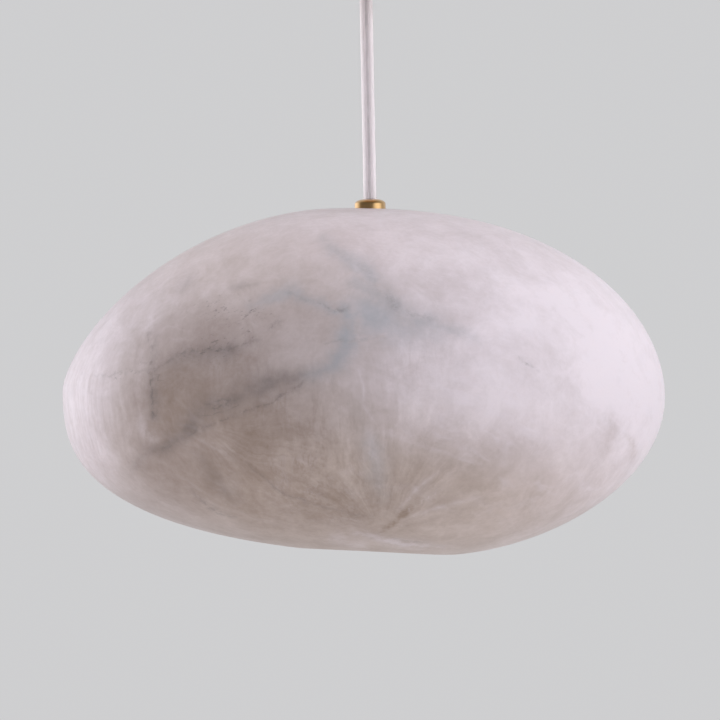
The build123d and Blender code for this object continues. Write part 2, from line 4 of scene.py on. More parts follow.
import bpy
import numpy as np
from bpy.props import FloatProperty, FloatVectorProperty, IntProperty, PointerProperty
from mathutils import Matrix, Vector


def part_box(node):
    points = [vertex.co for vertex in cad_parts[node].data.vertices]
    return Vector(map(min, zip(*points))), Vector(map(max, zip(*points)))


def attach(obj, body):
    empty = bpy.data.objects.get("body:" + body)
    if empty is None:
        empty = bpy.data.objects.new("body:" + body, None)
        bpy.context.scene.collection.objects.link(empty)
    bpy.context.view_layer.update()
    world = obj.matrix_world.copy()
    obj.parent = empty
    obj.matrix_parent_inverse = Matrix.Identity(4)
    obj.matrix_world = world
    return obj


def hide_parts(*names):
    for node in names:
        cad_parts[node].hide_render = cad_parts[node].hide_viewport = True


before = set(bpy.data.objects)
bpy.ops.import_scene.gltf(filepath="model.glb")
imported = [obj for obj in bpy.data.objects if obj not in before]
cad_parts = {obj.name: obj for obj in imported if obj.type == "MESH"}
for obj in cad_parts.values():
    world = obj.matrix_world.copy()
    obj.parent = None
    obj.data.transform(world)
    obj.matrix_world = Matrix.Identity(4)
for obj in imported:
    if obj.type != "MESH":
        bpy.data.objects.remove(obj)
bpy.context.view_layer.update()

bl_info = {
    "name": "Alabaster pendant light",
    "version": (1, 0, 0),
    "blender": (4, 5, 0),
    "location": "3D View > Sidebar > Pendant",
    "description": "Dresses the pendant: veined stone, clear cord, brushed brass and the fittings",
    "category": "Object",
}

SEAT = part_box("top_collar")[0][2]
CORD_LOW, CORD_HIGH = (corner[2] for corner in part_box("suspension_cord"))
CORE_LOW, CORE_HIGH = (corner[2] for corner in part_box("cord_cores"))
WIRE_LOW, WIRE_HIGH = (corner[2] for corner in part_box("suspension_wire"))

# The photograph's frame: the pixel where the cord's axis meets the collar's seat, and the scale there
PHOTO_SIDE = 720
SEAT_PIXEL = (370.2, 209.4)
METRES_PER_PIXEL = 0.0005


def length(name, text, value):
    """A length in metres that a user may change."""
    return FloatProperty(name=name, description=text, default=value, unit="LENGTH", precision=5)


def share(name, text, value):
    """A plain number that a user may change."""
    return FloatProperty(name=name, description=text, default=value, precision=4)


def power(name, text, value):
    """A lamp's power in watts that a user may change."""
    return FloatProperty(name=name, description=text, default=value, unit="POWER")


def tint(name, text, value):
    """A colour that a user may change."""
    return FloatVectorProperty(
        name=name, description=text, default=value, subtype="COLOR", size=3, min=0.0, max=1.0
    )


class PendantStone(bpy.types.PropertyGroup):
    left: length("Left reach", "From the cord's axis to the left end", 0.1555)
    right: length("Right reach", "From the cord's axis to the right end", 0.14485)
    front: length("Front reach", "Half depth towards the viewer", 0.118)
    back: length("Back reach", "Half depth away from the viewer", 0.122)
    crown: length("Crown", "Highest point above the collar's seat", 0.00079)
    foot: length("Foot", "Lowest point below the collar's seat", 0.1727)
    crown_x: length("Crown place", "Sideways place of the highest point", -0.020)
    foot_x: length("Foot place", "Sideways place of the lowest point", 0.035)
    hollow_d: length("Hollow", "Widest diameter of the turned hollow", 0.212)
    hollow_level: length("Hollow level", "Level of its widest place under the seat", -0.092)
    roof_d: length("Roof flat", "Diameter of the flat roof", 0.072)
    roof_level: length("Roof level", "Roof under the seat", -0.016)
    floor_d: length("Floor flat", "Diameter at which the floor would be flat", 0.070)
    floor_level: length("Floor level", "Lowest floor under the seat", -0.160)
    hollow_x: length("Hollow to the side", "Sideways place of the hollow's axis", -0.0032)
    hollow_y: length("Hollow to the back", "Backward place of the hollow's axis", 0.00255)
    mouth_d: length("Mouth", "Diameter of the mouth", 0.084)
    mouth_round: length("Mouth edge", "Rounding of the mouth's edge", 0.0016)
    seat_d: length("Ground seat", "Diameter of the ground seat for the collar", 0.0168)
    bore_d: length("Crown hole", "Diameter of the drilled crown", 0.011)
    rounds: IntProperty(name="Meridians", description="Points round the stone", default=310)
    rows: IntProperty(name="Parallels", description="Rows down the outside", default=250)
    # The stone's tones run from pale where its wall is thick to brown where it is thin over the hollow; that
    # darkening is partly the stone's own colour and partly painted shade of the hollow seen through the wall
    pale: tint("Pale stone", "Thick white ends", (0.880, 0.802, 0.874))
    rosy: tint("Rosy stone", "Next to the white", (0.680, 0.604, 0.645))
    dove: tint("Dove stone", "Between white and grey", (0.546, 0.474, 0.485))
    grey: tint("Grey stone", "Over the hollow", (0.413, 0.342, 0.337))
    taupe: tint("Taupe stone", "Between grey and brown", (0.305, 0.238, 0.216))
    brown: tint("Brown stone", "Deepest part over the hollow", (0.238, 0.181, 0.156))
    honey: tint("Honey cast", "Warm cast of the lower stone", (1.0, 0.945, 0.835))
    slate: tint("Slate vein", "Broad blue-grey veins", (0.385, 0.405, 0.455))
    smoke: tint("Smoky vein", "Broad dark veins", (0.165, 0.140, 0.138))
    rust: tint("Rust stain", "Brown stains", (0.250, 0.165, 0.110))
    umber: tint("Umber line", "Thin dark lines", (0.120, 0.105, 0.105))
    roughness: share("Roughness", "Honed surface", 0.43)


class PendantCord(bpy.types.PropertyGroup):
    diameter: length("Jacket", "Outer diameter of the clear jacket", 0.00675)
    core_d: length("Core", "Diameter of one insulated core", 0.0022)
    core_x: length("Core place", "Sideways place of a core", 0.00115)
    core_y: length("Core depth", "Backward place of the cores", 0.00035)
    wire_d: length("Wire", "Diameter of the stranded wire", 0.0013)
    wire_y: length("Wire depth", "Forward place of the wire", -0.0017)
    wire_pitch: length("Lay of the wire", "Length of one turn of its strands", 0.011)
    strands: IntProperty(name="Strands", description="Outer strands of the wire", default=6)
    jacket: tint("Jacket", "Clear jacket", (1.0, 0.965, 0.985))
    core: tint("Core cover", "Insulation of the cores", (0.97, 0.92, 0.95))


class PendantMetal(bpy.types.PropertyGroup):
    brass: tint("Brass", "Brushed and lacquered brass", (0.80, 0.51, 0.22))
    collar_bore: length("Collar bore", "Diameter round the cord", 0.00735)
    collar_drop: length("Collar shoulder", "Height of the domed shoulder", 0.0025)
    collar_lip: length("Collar lip", "Thickness over the thread", 0.0014)
    collar_thread: length("Collar thread", "Diameter of the threaded hole", 0.010)
    gasket_d: length("Gasket recess", "Diameter of the recess in its foot", 0.0134)
    gasket_height: length("Gasket height", "Depth of the recess in its foot", 0.0008)
    dull_brass: tint("Plain brass", "Turned contact brass", (0.70, 0.53, 0.27))
    zinc: tint("Zinc", "Plated steel", (0.60, 0.61, 0.63))
    wire: tint("Wire", "Bright wire", (0.74, 0.70, 0.73))
    tin: tint("Tin", "Tinned pins", (0.66, 0.66, 0.66))


class PendantFittings(bpy.types.PropertyGroup):
    rubber: tint("Rubber", "Pad and gasket", (0.035, 0.035, 0.035))
    nylon: tint("Nylon", "Terminal block and connector", (0.74, 0.74, 0.69))
    enamel: tint("Enamel", "White lamp plate", (0.82, 0.81, 0.78))
    ceramic: tint("Steatite", "Lampholders", (0.78, 0.75, 0.66))
    base: tint("Lamp base", "Moulded lamp bases", (0.82, 0.82, 0.79))
    frost: tint("Frosted cover", "Lamp covers", (0.86, 0.85, 0.81))
    board: tint("Light board", "Boards with the light chips", (0.80, 0.76, 0.66))
    chip: tint("Light chip", "Yellow chips on the boards", (0.78, 0.60, 0.13))


class PendantStage(bpy.types.PropertyGroup):
    distance: length("Camera distance", "From the cord's axis to the camera", 1.75)
    roll: FloatProperty(
        name="Camera roll", description="Lean of the photograph", default=math.radians(1.14), subtype="ANGLE"
    )
    ground: tint("Background", "Pale floor and backdrop", (0.62, 0.62, 0.63))
    paper: tint("Floor", "Pale floor", (0.94, 0.94, 0.95))
    floor_level: length("Floor level", "Height of the floor", -4.5)
    floor_radius: length("Floor radius", "Reach of the floor", 30.0)
    sky: share("Sky light", "Strength of the even light", 0.52)
    left_power: power("Left lamp", "Soft lamp on the left", 15.0)
    right_power: power("Right lamp", "Soft lamp on the right", 17.5)
    top_power: power("Top lamp", "Soft lamp above", 5.0)
    low_power: power("Low lamp", "Soft lamp below", 6.0)


GROUPS = (
    ("pendant_stone", PendantStone),
    ("pendant_cord", PendantCord),
    ("pendant_metal", PendantMetal),
    ("pendant_fittings", PendantFittings),
    ("pendant_stage", PendantStage),
)

# Veins on the side that the photograph shows, by sort: stops of pixel, half width in pixels and strength
VEINS = {
    "slate": {
        "upper stem": (
            (322, 238, 6, 0.35), (335, 251, 7, 0.45), (351, 262, 8, 0.5), (365, 270, 9, 0.5),
            (373, 281, 9, 0.55),
        ),
        "right arm": (
            (354, 281, 8, 0.35), (375, 294, 11, 0.5), (392, 308, 12, 0.65), (408, 319, 12, 0.6),
            (425, 323, 11, 0.55), (442, 328, 9, 0.45), (458, 333, 7, 0.45), (478, 340, 6, 0.15),
        ),
        "fork's body": (
            (354, 302, 13, 0.35), (370, 312, 20, 0.75), (395, 325, 18, 0.7), (420, 334, 12, 0.5),
            (448, 339, 9, 0.25),
        ),
        "left arm": (
            (344, 306, 7, 0.6), (348, 318, 9, 0.85), (347, 334, 9, 0.85), (344, 350, 9, 0.7),
            (335, 364, 8, 0.7), (322, 371, 7, 0.55), (304, 376, 7, 0.4),
        ),
        "left bow": (
            (344, 311, 4, 0.6), (333, 312, 4, 0.6), (322, 305, 5, 0.45), (303, 299, 6, 0.5),
            (291, 292, 7, 0.6), (275, 297, 6, 0.5), (248, 306, 5, 0.25),
        ),
        "lower drift": (
            (358, 400, 8, 0.05), (365, 425, 9, 0.1), (372, 445, 10, 0.35), (377, 475, 9, 0.3),
            (383, 500, 6, 0.1),
        ),
        "cross thread": ((331, 343, 2, 0.25), (356, 341, 2.5, 0.4), (382, 336, 3, 0.2)),
    },
    "smoke": {
        "long band": (
            (324, 371, 6, 0.25), (300, 377, 8, 0.5), (282, 380, 9, 0.65), (264, 384, 10, 0.7),
            (250, 392, 10, 0.7), (232, 399, 10, 0.6), (212, 405, 9, 0.55), (199, 416, 8, 0.65),
            (192, 428, 8, 0.7), (176, 440, 7, 0.6), (160, 448, 6, 0.5), (142, 449, 5, 0.2),
        ),
        "speckled ridge": (
            (165, 364, 5, 0.2), (184, 358, 7, 0.4), (198, 355, 8, 0.4), (216, 350, 8, 0.45),
            (228, 350, 8, 0.6), (243, 346, 6, 0.2), (264, 338, 4, 0.05),
        ),
        "left edge": (
            (156, 333, 3, 0.25), (155, 352, 4, 0.4), (154, 375, 5, 0.45), (154, 398, 5, 0.45),
            (155, 418, 4, 0.5),
        ),
        "upper left puff": ((178, 292, 6, 0.15), (187, 281, 7, 0.4), (194, 273, 6, 0.15)),
        "crown dash": ((228, 289, 3, 0.2), (240, 287, 4, 0.35), (258, 283, 3, 0.25)),
        "low left tail": ((130, 475, 5, 0.15), (140, 460, 6, 0.35), (153, 450, 5, 0.25)),
        "right crease": (
            (546, 380, 5, 0.03), (566, 383, 6, 0.05), (579, 396, 6, 0.07), (594, 411, 7, 0.1),
            (607, 421, 7, 0.12), (622, 436, 6, 0.06),
        ),
        "low left shade": ((198, 450, 7, 0.2), (210, 468, 8, 0.4), (222, 488, 8, 0.45), (240, 500, 7, 0.2)),
    },
    "line": {
        "stem and right arm": (
            (322, 238, 1.6, 0.05), (335, 251, 1.8, 0.12), (352, 262, 1.8, 0.15), (366, 270, 1.8, 0.2),
            (377, 288, 2.4, 0.35), (386, 295, 3, 0.45), (398, 309, 3, 0.55), (406, 314, 2.4, 0.4),
            (420, 315, 1.6, 0.35), (440, 321, 1.6, 0.25),
        ),
        "left bow": (
            (346, 309, 2, 0.5), (333, 312, 2.4, 0.7), (324, 304, 1.6, 0.4), (302, 300, 1.6, 0.3),
            (288, 292, 1.6, 0.2),
        ),
        "band's lower edge": (
            (304, 382, 1.6, 0.45), (297, 388, 1.7, 0.6), (280, 396, 1.8, 0.75), (271, 402, 1.6, 0.55),
            (256, 407, 1.8, 0.7), (242, 414, 1.8, 0.75), (222, 420, 1.7, 0.65), (206, 426, 1.6, 0.5),
            (194, 431, 2, 0.4),
        ),
        "upper scratch": ((236, 398, 1.2, 0.3), (220, 402, 1.3, 0.85), (206, 404, 1.2, 0.45)),
        "lower scratch": ((234, 403, 1.2, 0.3), (219, 407, 1.3, 0.8), (205, 411, 1.2, 0.4)),
        "band's tail": (
            (198, 427, 1.4, 0.4), (186, 438, 1.4, 0.4), (168, 446, 1.4, 0.4), (152, 451, 1.4, 0.2),
        ),
        "belly crack": (
            (218, 446, 1.3, 0.1), (240, 457, 1.3, 0.3), (256, 470, 1.3, 0.4), (271, 484, 1.4, 0.5),
            (288, 496, 1.4, 0.5), (304, 501, 1.3, 0.35), (322, 506, 1.3, 0.4), (340, 509, 1.3, 0.45),
            (353, 515, 1.6, 0.5), (374, 516, 1.4, 0.2),
        ),
        "low left crack": (
            (188, 487, 2.2, 0.2), (203, 502, 2.2, 0.5), (219, 512, 2.2, 0.5), (240, 519, 1.8, 0.2),
        ),
        "ridge line": (
            (95, 377, 1.3, 0.3), (105, 376, 1.4, 0.4), (120, 374, 1.4, 0.4), (138, 371, 1.4, 0.3),
            (153, 370, 1.6, 0.4), (172, 359, 1.8, 0.5), (184, 353, 2.2, 0.65), (198, 351, 2.2, 0.65),
            (218, 347, 2.4, 0.65), (228, 351, 2.6, 0.6), (240, 346, 2, 0.45), (262, 339, 1.4, 0.2),
        ),
        "right nick": (
            (518, 358, 1.2, 0.3), (523, 362, 1.3, 0.6), (529, 366, 1.2, 0.5), (540, 371, 1.2, 0.15),
        ),
        "foot line": (
            (386, 538, 1.2, 0.1), (398, 540, 1.3, 0.4), (420, 543, 1.3, 0.35), (449, 546, 1.2, 0.15),
        ),
        "cross thread": (
            (328, 343, 1.6, 0.4), (334, 342, 1.4, 0.3), (356, 341, 1.3, 0.2), (380, 336, 1.3, 0.1),
        ),
        "left edge": (
            (148, 335, 2, 0.6), (153, 346, 1.4, 0.4), (151, 362, 1.4, 0.6), (151, 378, 1.5, 0.8),
            (151, 398, 1.7, 0.9), (154, 417, 2.2, 1.0),
        ),
        "short dash": ((273, 326, 1.6, 0.8), (278, 323, 1.4, 0.8)),
    },
    "speck": {
        "ridge": (
            (160, 368, 8, 0.4), (185, 356, 10, 0.6), (208, 348, 13, 0.8), (230, 345, 14, 0.9),
            (250, 336, 12, 0.6), (278, 322, 8, 0.3),
        ),
        "left trail": ((100, 378, 6, 0.5), (125, 374, 7, 0.6), (150, 370, 8, 0.5)),
        "upper trail": ((188, 314, 10, 0.7), (215, 310, 14, 0.9), (245, 312, 14, 0.9), (275, 318, 9, 0.6)),
    },
    "rust": {
        "fan's foot": (
            (375, 534, 4, 0.7), (384, 531, 6, 1.0), (391, 526, 5, 1.0), (398, 519, 3, 0.9),
            (404, 514, 3, 1.0), (412, 508, 2.5, 0.3),
        ),
        "fan's left": ((322, 488, 10, 0.2), (338, 500, 11, 0.45), (350, 509, 8, 0.5), (362, 515, 5, 0.3)),
        "fan's floor": ((362, 529, 7, 0.2), (382, 533, 9, 0.45), (400, 532, 9, 0.35), (420, 530, 7, 0.1)),
        "right notch": ((608, 408, 4, 0.15), (613, 424, 5, 0.32), (609, 440, 9, 0.28), (604, 455, 9, 0.15)),
        "outer notch": ((627, 434, 3, 0.15), (633, 446, 4, 0.36), (630, 462, 6, 0.25)),
        "low left stain": (
            (203, 448, 12, 0.2), (214, 472, 14, 0.35), (222, 492, 13, 0.35), (255, 510, 10, 0.2),
        ),
        "belly stain": (
            (250, 472, 14, 0.15), (275, 478, 15, 0.15), (300, 492, 13, 0.25), (325, 504, 11, 0.3),
        ),
    },
    "pale": {
        "left foot band": ((331, 537, 5, 0.3), (345, 541, 5, 0.45), (366, 546, 5, 0.3)),
        "foot band": (
            (352, 533, 4, 0.25), (372, 536, 4, 0.5), (388, 541, 5, 0.6), (406, 545, 5, 0.6),
            (429, 547, 4, 0.45), (452, 547, 3, 0.15),
        ),
        "right shoulder edge": (
            (570, 283, 2, 0.2), (588, 305, 2.5, 0.4), (602, 326, 2.5, 0.4), (612, 348, 2.5, 0.4),
        ),
        "right end edge": (
            (617, 355, 1.8, 0.3), (621, 372, 2, 0.55), (624, 392, 2, 0.5), (624, 408, 1.8, 0.25),
        ),
        "right crease": (
            (541, 371, 1.5, 0.3), (553, 373, 1.6, 0.5), (566, 375, 1.6, 0.6), (575, 380, 1.6, 0.6),
            (582, 391, 1.6, 0.6), (597, 405, 1.8, 0.6), (608, 412, 1.8, 0.6), (618, 425, 1.8, 0.5),
            (632, 437, 1.8, 0.4),
        ),
        "right foot edge": ((635, 466, 2.5, 0.3), (624, 478, 2.5, 0.35), (606, 490, 2.5, 0.3)),
        "left glow": ((142, 334, 6, 0.4), (151, 320, 8, 0.55), (156, 304, 6, 0.25)),
        "left rim": (
            (141, 352, 4, 0.2), (140, 380, 5, 0.25), (142, 405, 5, 0.25), (144, 432, 6, 0.35),
            (154, 441, 6, 0.4),
        ),
        "middle hair": (
            (359, 372, 1.4, 0.3), (364, 388, 1.4, 0.45), (364, 406, 1.4, 0.35), (374, 421, 1.4, 0.2),
        ),
        "short hair": ((418, 391, 1.4, 0.5), (420, 403, 1.4, 0.3)),
        "spray's edge": ((201, 440, 2, 0.15), (218, 450, 2, 0.22), (236, 461, 2, 0.1)),
        "fan's right ray": ((400, 508, 2.2, 0.15), (418, 488, 2.2, 0.38), (440, 470, 2.2, 0.15)),
        "fan's low ray": ((404, 520, 2, 0.1), (425, 512, 2, 0.32), (452, 504, 2, 0.28), (480, 498, 2, 0.1)),
        "upper belly fibre": (
            (488, 388, 1.6, 0.2), (519, 403, 1.7, 0.6), (534, 414, 1.7, 0.55), (549, 434, 1.6, 0.2),
        ),
        "lower belly fibre": (
            (470, 395, 1.6, 0.2), (490, 408, 1.7, 0.55), (508, 420, 1.7, 0.5), (530, 434, 1.6, 0.2),
        ),
        "belly streak": ((440, 392, 5, 0.15), (482, 406, 6, 0.4), (517, 428, 6, 0.45), (553, 444, 5, 0.2)),
        # painted glints: the next two are small highlights laid in as pale marks
        "stem's painted glint": ((350, 258, 6, 0.1), (356, 266, 7, 0.35), (352, 277, 6, 0.1)),
        "right foot painted glint": ((578, 470, 4, 0.2), (583, 482, 5, 0.45), (586, 495, 4, 0.2)),
    },
}

# How a vein's line is followed, in metres: points for each stop, the band that is looked at, the widest
# half width that keeps its two sides apart, the least fade past an end, where a vein fades out, as half
# widths and metres from its line, and the distance, half width and strength where there is none
VEIN_STEPS = 12
VEIN_MARGIN = 0.02
FINE_VEIN = 0.0014
END_FADE = 0.0015
FADE_FROM, FADE_TO = (2.5, 0.0035), (3.0, 0.0055)
NO_VEIN = (1.0, 0.001, 0.0)

# How each sort of vein looks: wandering in metres and in half widths, steepness of its edge, how much it
# is broken up and how finely
VEIN_LOOKS = {
    "slate": {"Wander": 0.006, "Sway": 1.6, "Edge": 1.6, "Broken": 0.3, "Grain": 48.0},
    "smoke": {"Wander": 0.006, "Sway": 1.6, "Edge": 1.5, "Broken": 0.32, "Grain": 85.0},
    "rust": {"Wander": 0.005, "Sway": 1.6, "Edge": 1.5, "Broken": 0.45, "Grain": 110.0},
    "pale": {"Wander": 0.0022, "Sway": 1.0, "Edge": 1.3, "Broken": 0.7, "Grain": 120.0},
    "line": {"Wander": 0.008, "Sway": 1.2, "Edge": 1.1, "Broken": 0.95, "Grain": 260.0},
    "speck": {"Wander": 0.004, "Sway": 0.5, "Edge": 2.0, "Broken": 0.4, "Grain": 60.0},
}

# Fans of crystal rays: pixel of the foot, streaks for each radian and metre, distances in metres at which
# they begin to fade and are gone, depth, and the sector's angles from straight up
FANS = {
    "fan": {
        "foot": (382, 533), "streaks": (6.5, 15.0), "fade": (0.025, 0.10), "depth": 0.66,
        "left": (-1.6, -0.9), "right": (1.2, 1.9),
    },
    "spray": {
        "foot": (196, 426), "streaks": (9.0, 26.0), "fade": (0.02, 0.11), "depth": 0.50,
        "left": (1.1, 1.7), "right": (2.5, 3.1),
    },
}

# Broad patches on that side, listed one by one: pixel, half widths in pixels, depth
TONES = {
    # partly the stone's own colour, partly painted shade of the hollow seen through the thin wall
    "smoky heart": ((193, 390), (72, 65), 0.43),
    "brown belly": ((290, 428), (88, 68), 0.44),
    # painted shade: the next two patches darken the foot where its underside turns from the light
    "shaded foot": ((290, 580), (210, 70), 0.46),
    "painted foot shade": ((300, 508), (150, 28), 0.20),
    "grey crown": ((235, 275), (110, 55), 0.16),
    "slate fork": ((325, 320), (90, 45), 0.25),
    "warm right foot": ((440, 480), (100, 60), 0.25),
    "left veil": ((150, 425), (42, 80), 0.31),
    "speckled band": ((220, 335), (75, 35), 0.22),
    "low left": ((200, 480), (90, 40), 0.25),
    "white left end": ((85, 395), (45, 70), -0.10),
    "white right end": ((640, 390), (45, 70), -0.15),
    "white right shoulder": ((560, 300), (90, 60), -0.1),
    "white right belly": ((475, 408), (125, 42), -0.12),
    # painted shade at the right foot
    "right foot": ((550, 512), (50, 28), 0.10),
}
WARMTH = {
    "honey belly": ((290, 470), (190, 85), 0.75),
    "honey foot": ((400, 525), (170, 60), 1.0),
    "right foot": ((560, 490), (120, 60), 0.25),
    "smoky heart": ((205, 408), (75, 40), 0.3),
    "crown": ((225, 262), (105, 55), 0.35),
}
COMBED = {
    "belly": ((330, 460), (70, 60), 1.0),
    "fork": ((412, 356), (32, 26), 0.6),
    "left end": ((96, 412), (40, 60), 0.9),
    "heart": ((240, 370), (70, 40), 0.3),
}
WISPS = {
    "right": ((500, 385), (90, 50), 1.0),
    "middle": ((440, 440), (80, 50), 0.6),
    "right shoulder": ((540, 320), (90, 50), 0.35),
    "crown": ((480, 260), (110, 40), 0.3),
    "right foot": ((570, 470), (70, 50), 0.6),
    "left": ((160, 330), (60, 40), 0.15),
}

# The patches by what they change, with the value where there is none
PATCHES = {"tone": (TONES, 0.12), "warmth": (WARMTH, 0.0), "combed": (COMBED, 0.0), "wisps": (WISPS, 0.15)}
DEEPEST_PATCH = 1.15

# Depths, in metres behind the cord's axis, over which the near side ends and the far side begins, and the
# mirrored patches there: place, width and depth against those in front
NEAR_SIDE = (0.040, -0.004)
FAR_SIDE = (0.0, 0.06)
MIRROR_PLACE, MIRROR_WIDTH, MIRROR_DEPTH = 0.8, 1.2, 0.8

# Camera, floor, lamps and sky: the lamps' places and sides in metres, the even light's colour, and what
# gloss alone sees: walls that brighten from front to back between two directions and strengths, and soft
# boxes, each with its direction and strength, which fall off between two cosines
SENSOR_MM = 36.0
CLIP_END = 100.0
FLOOR_RINGS, FLOOR_SPOKES, FLOOR_HUB = 12, 64, 0.02
FLOOR_LIFT = 0.216
LAMP_AIM = 0.08
LAMPS = {
    "left": ((-1.85, -0.45, 0.2), 1.3),
    "right": ((1.8, -0.5, 0.4), 1.3),
    "top": ((0.1, -0.3, 1.6), 1.0),
    "low": ((0.0, -0.25, -1.8), 1.0),
}
EVEN_LIGHT = (1.0, 0.985, 1.0, 1.0)
GLOSS_WALLS = (-0.25, 0.6, 0.2, 1.0)
SOFT_BOXES = (((0.85, -0.53, 0.0), 2.2), ((-0.87, 0.49, 0.0), 1.6))
BOX_FALL = (0.74, 1.0)

# Fineness of the smaller round pieces, and the levels from the cord's ends at which its curve is held
CORE_SIDES, CORE_ROWS = 20, 40
STRAND_SIDES, STRAND_ROWS = 7, 190
COLLAR_SIDES, SHOULDER_POINTS = 96, 16
JACKET_ROUNDNESS = 8
CORD_HELD_HIGH, CORD_HELD_LOW = 0.045, 0.04

# Relief of smooth finishes, of the honed stone and of the light chips in metres, how finely the grain of
# a finish runs along each axis, and the chips' pitch and soft edge in millimetres
FINE_RELIEF, STONE_RELIEF, CHIP_RELIEF = 0.00003, 0.00012, 0.0004
JACKET_GRAIN = (1250.0, 1250.0, 9.0)
COVER_GRAIN = (900.0, 900.0, 60.0)
WIRE_GRAIN = (1500.0, 1500.0, 120.0)
ZINC_GRAIN = (260.0, 900.0, 900.0)
PLATED_GRAIN = (700.0, 700.0, 40.0)
CHIP_PITCH, CHIP_EDGE = 3.2, (0.75, 0.62)
MM_PER_METRE = 1000.0

# Meshes


def circle(count):
    """Even angles once round."""
    return np.linspace(0, 2 * math.pi, count, endpoint=False)


def steps(count):
    """Even shares of the way from 0, left out, to 1, one for each row."""
    return np.linspace(0, 1, count + 1)[1:, None]


def rings(radius, turn, level, x=0.0, y=0.0):
    """A grid of points at these radii, angles and levels round an upright line."""
    return np.stack(np.broadcast_arrays(x + radius * np.cos(turn), y + radius * np.sin(turn), level), -1)


def grid_mesh(name, *grids, close_rows=False, caps=False):
    """A mesh from grids of points, rows by columns. Each runs back into its first column. It may also
    run back into its first row, or have its end rows capped by a face each."""
    faces, start = [], 0
    for points in grids:
        index = start + np.arange(points[..., 0].size).reshape(points.shape[:2])
        lower = index if close_rows else index[:-1]
        upper = np.roll(index, -1, 0) if close_rows else index[1:]
        quads = (lower, np.roll(lower, -1, 1), np.roll(upper, -1, 1), upper)
        faces += np.stack(quads, -1).reshape(-1, 4).tolist()
        if caps:
            faces += [index[0][::-1].tolist(), index[-1].tolist()]
        start += index.size
    mesh = bpy.data.meshes.new(name)
    mesh.from_pydata(np.concatenate([points.reshape(-1, 3) for points in grids]), [], faces)
    return mesh


def link(name, data):
    """A new object in the scene."""
    made = bpy.data.objects.new(name, data)
    bpy.context.scene.collection.objects.link(made)
    return made


def stand(name, mesh, body, material, sharp=35.0):
    """Puts a mesh into the scene as a smooth piece that rides on a body."""
    mesh.update()
    mesh.polygons.foreach_set("use_smooth", np.ones(len(mesh.polygons), bool))
    mesh.set_sharp_from_angle(angle=math.radians(sharp))
    mesh.materials.append(material)
    piece = link(name, mesh)
    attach(piece, body)
    return piece


def soft_step(low, high, value):
    """Rises smoothly from 0 at low to 1 at high."""
    part = np.clip((value - low) / (high - low), 0, 1)
    return part * part * (3 - 2 * part)


def smooth_line(points, count):
    """Even points on the curve that passes through all given points: on each stretch a cubic whose
    slope at a point is half the step between its neighbours."""
    padded = np.vstack([2 * points[0] - points[1], points, 2 * points[-1] - points[-2]])
    place = np.linspace(0, len(points) - 1, count)
    cell = np.minimum(place.astype(int), len(points) - 2)
    t = (place - cell)[:, None]
    a, b, c, d = (padded[cell + k] for k in range(4))
    return 0.5 * (2 * b + (c - a) * t + (2 * a - 5 * b + 4 * c - d) * t**2 + (3 * b - 3 * c + d - a) * t**3)


# Stone shape


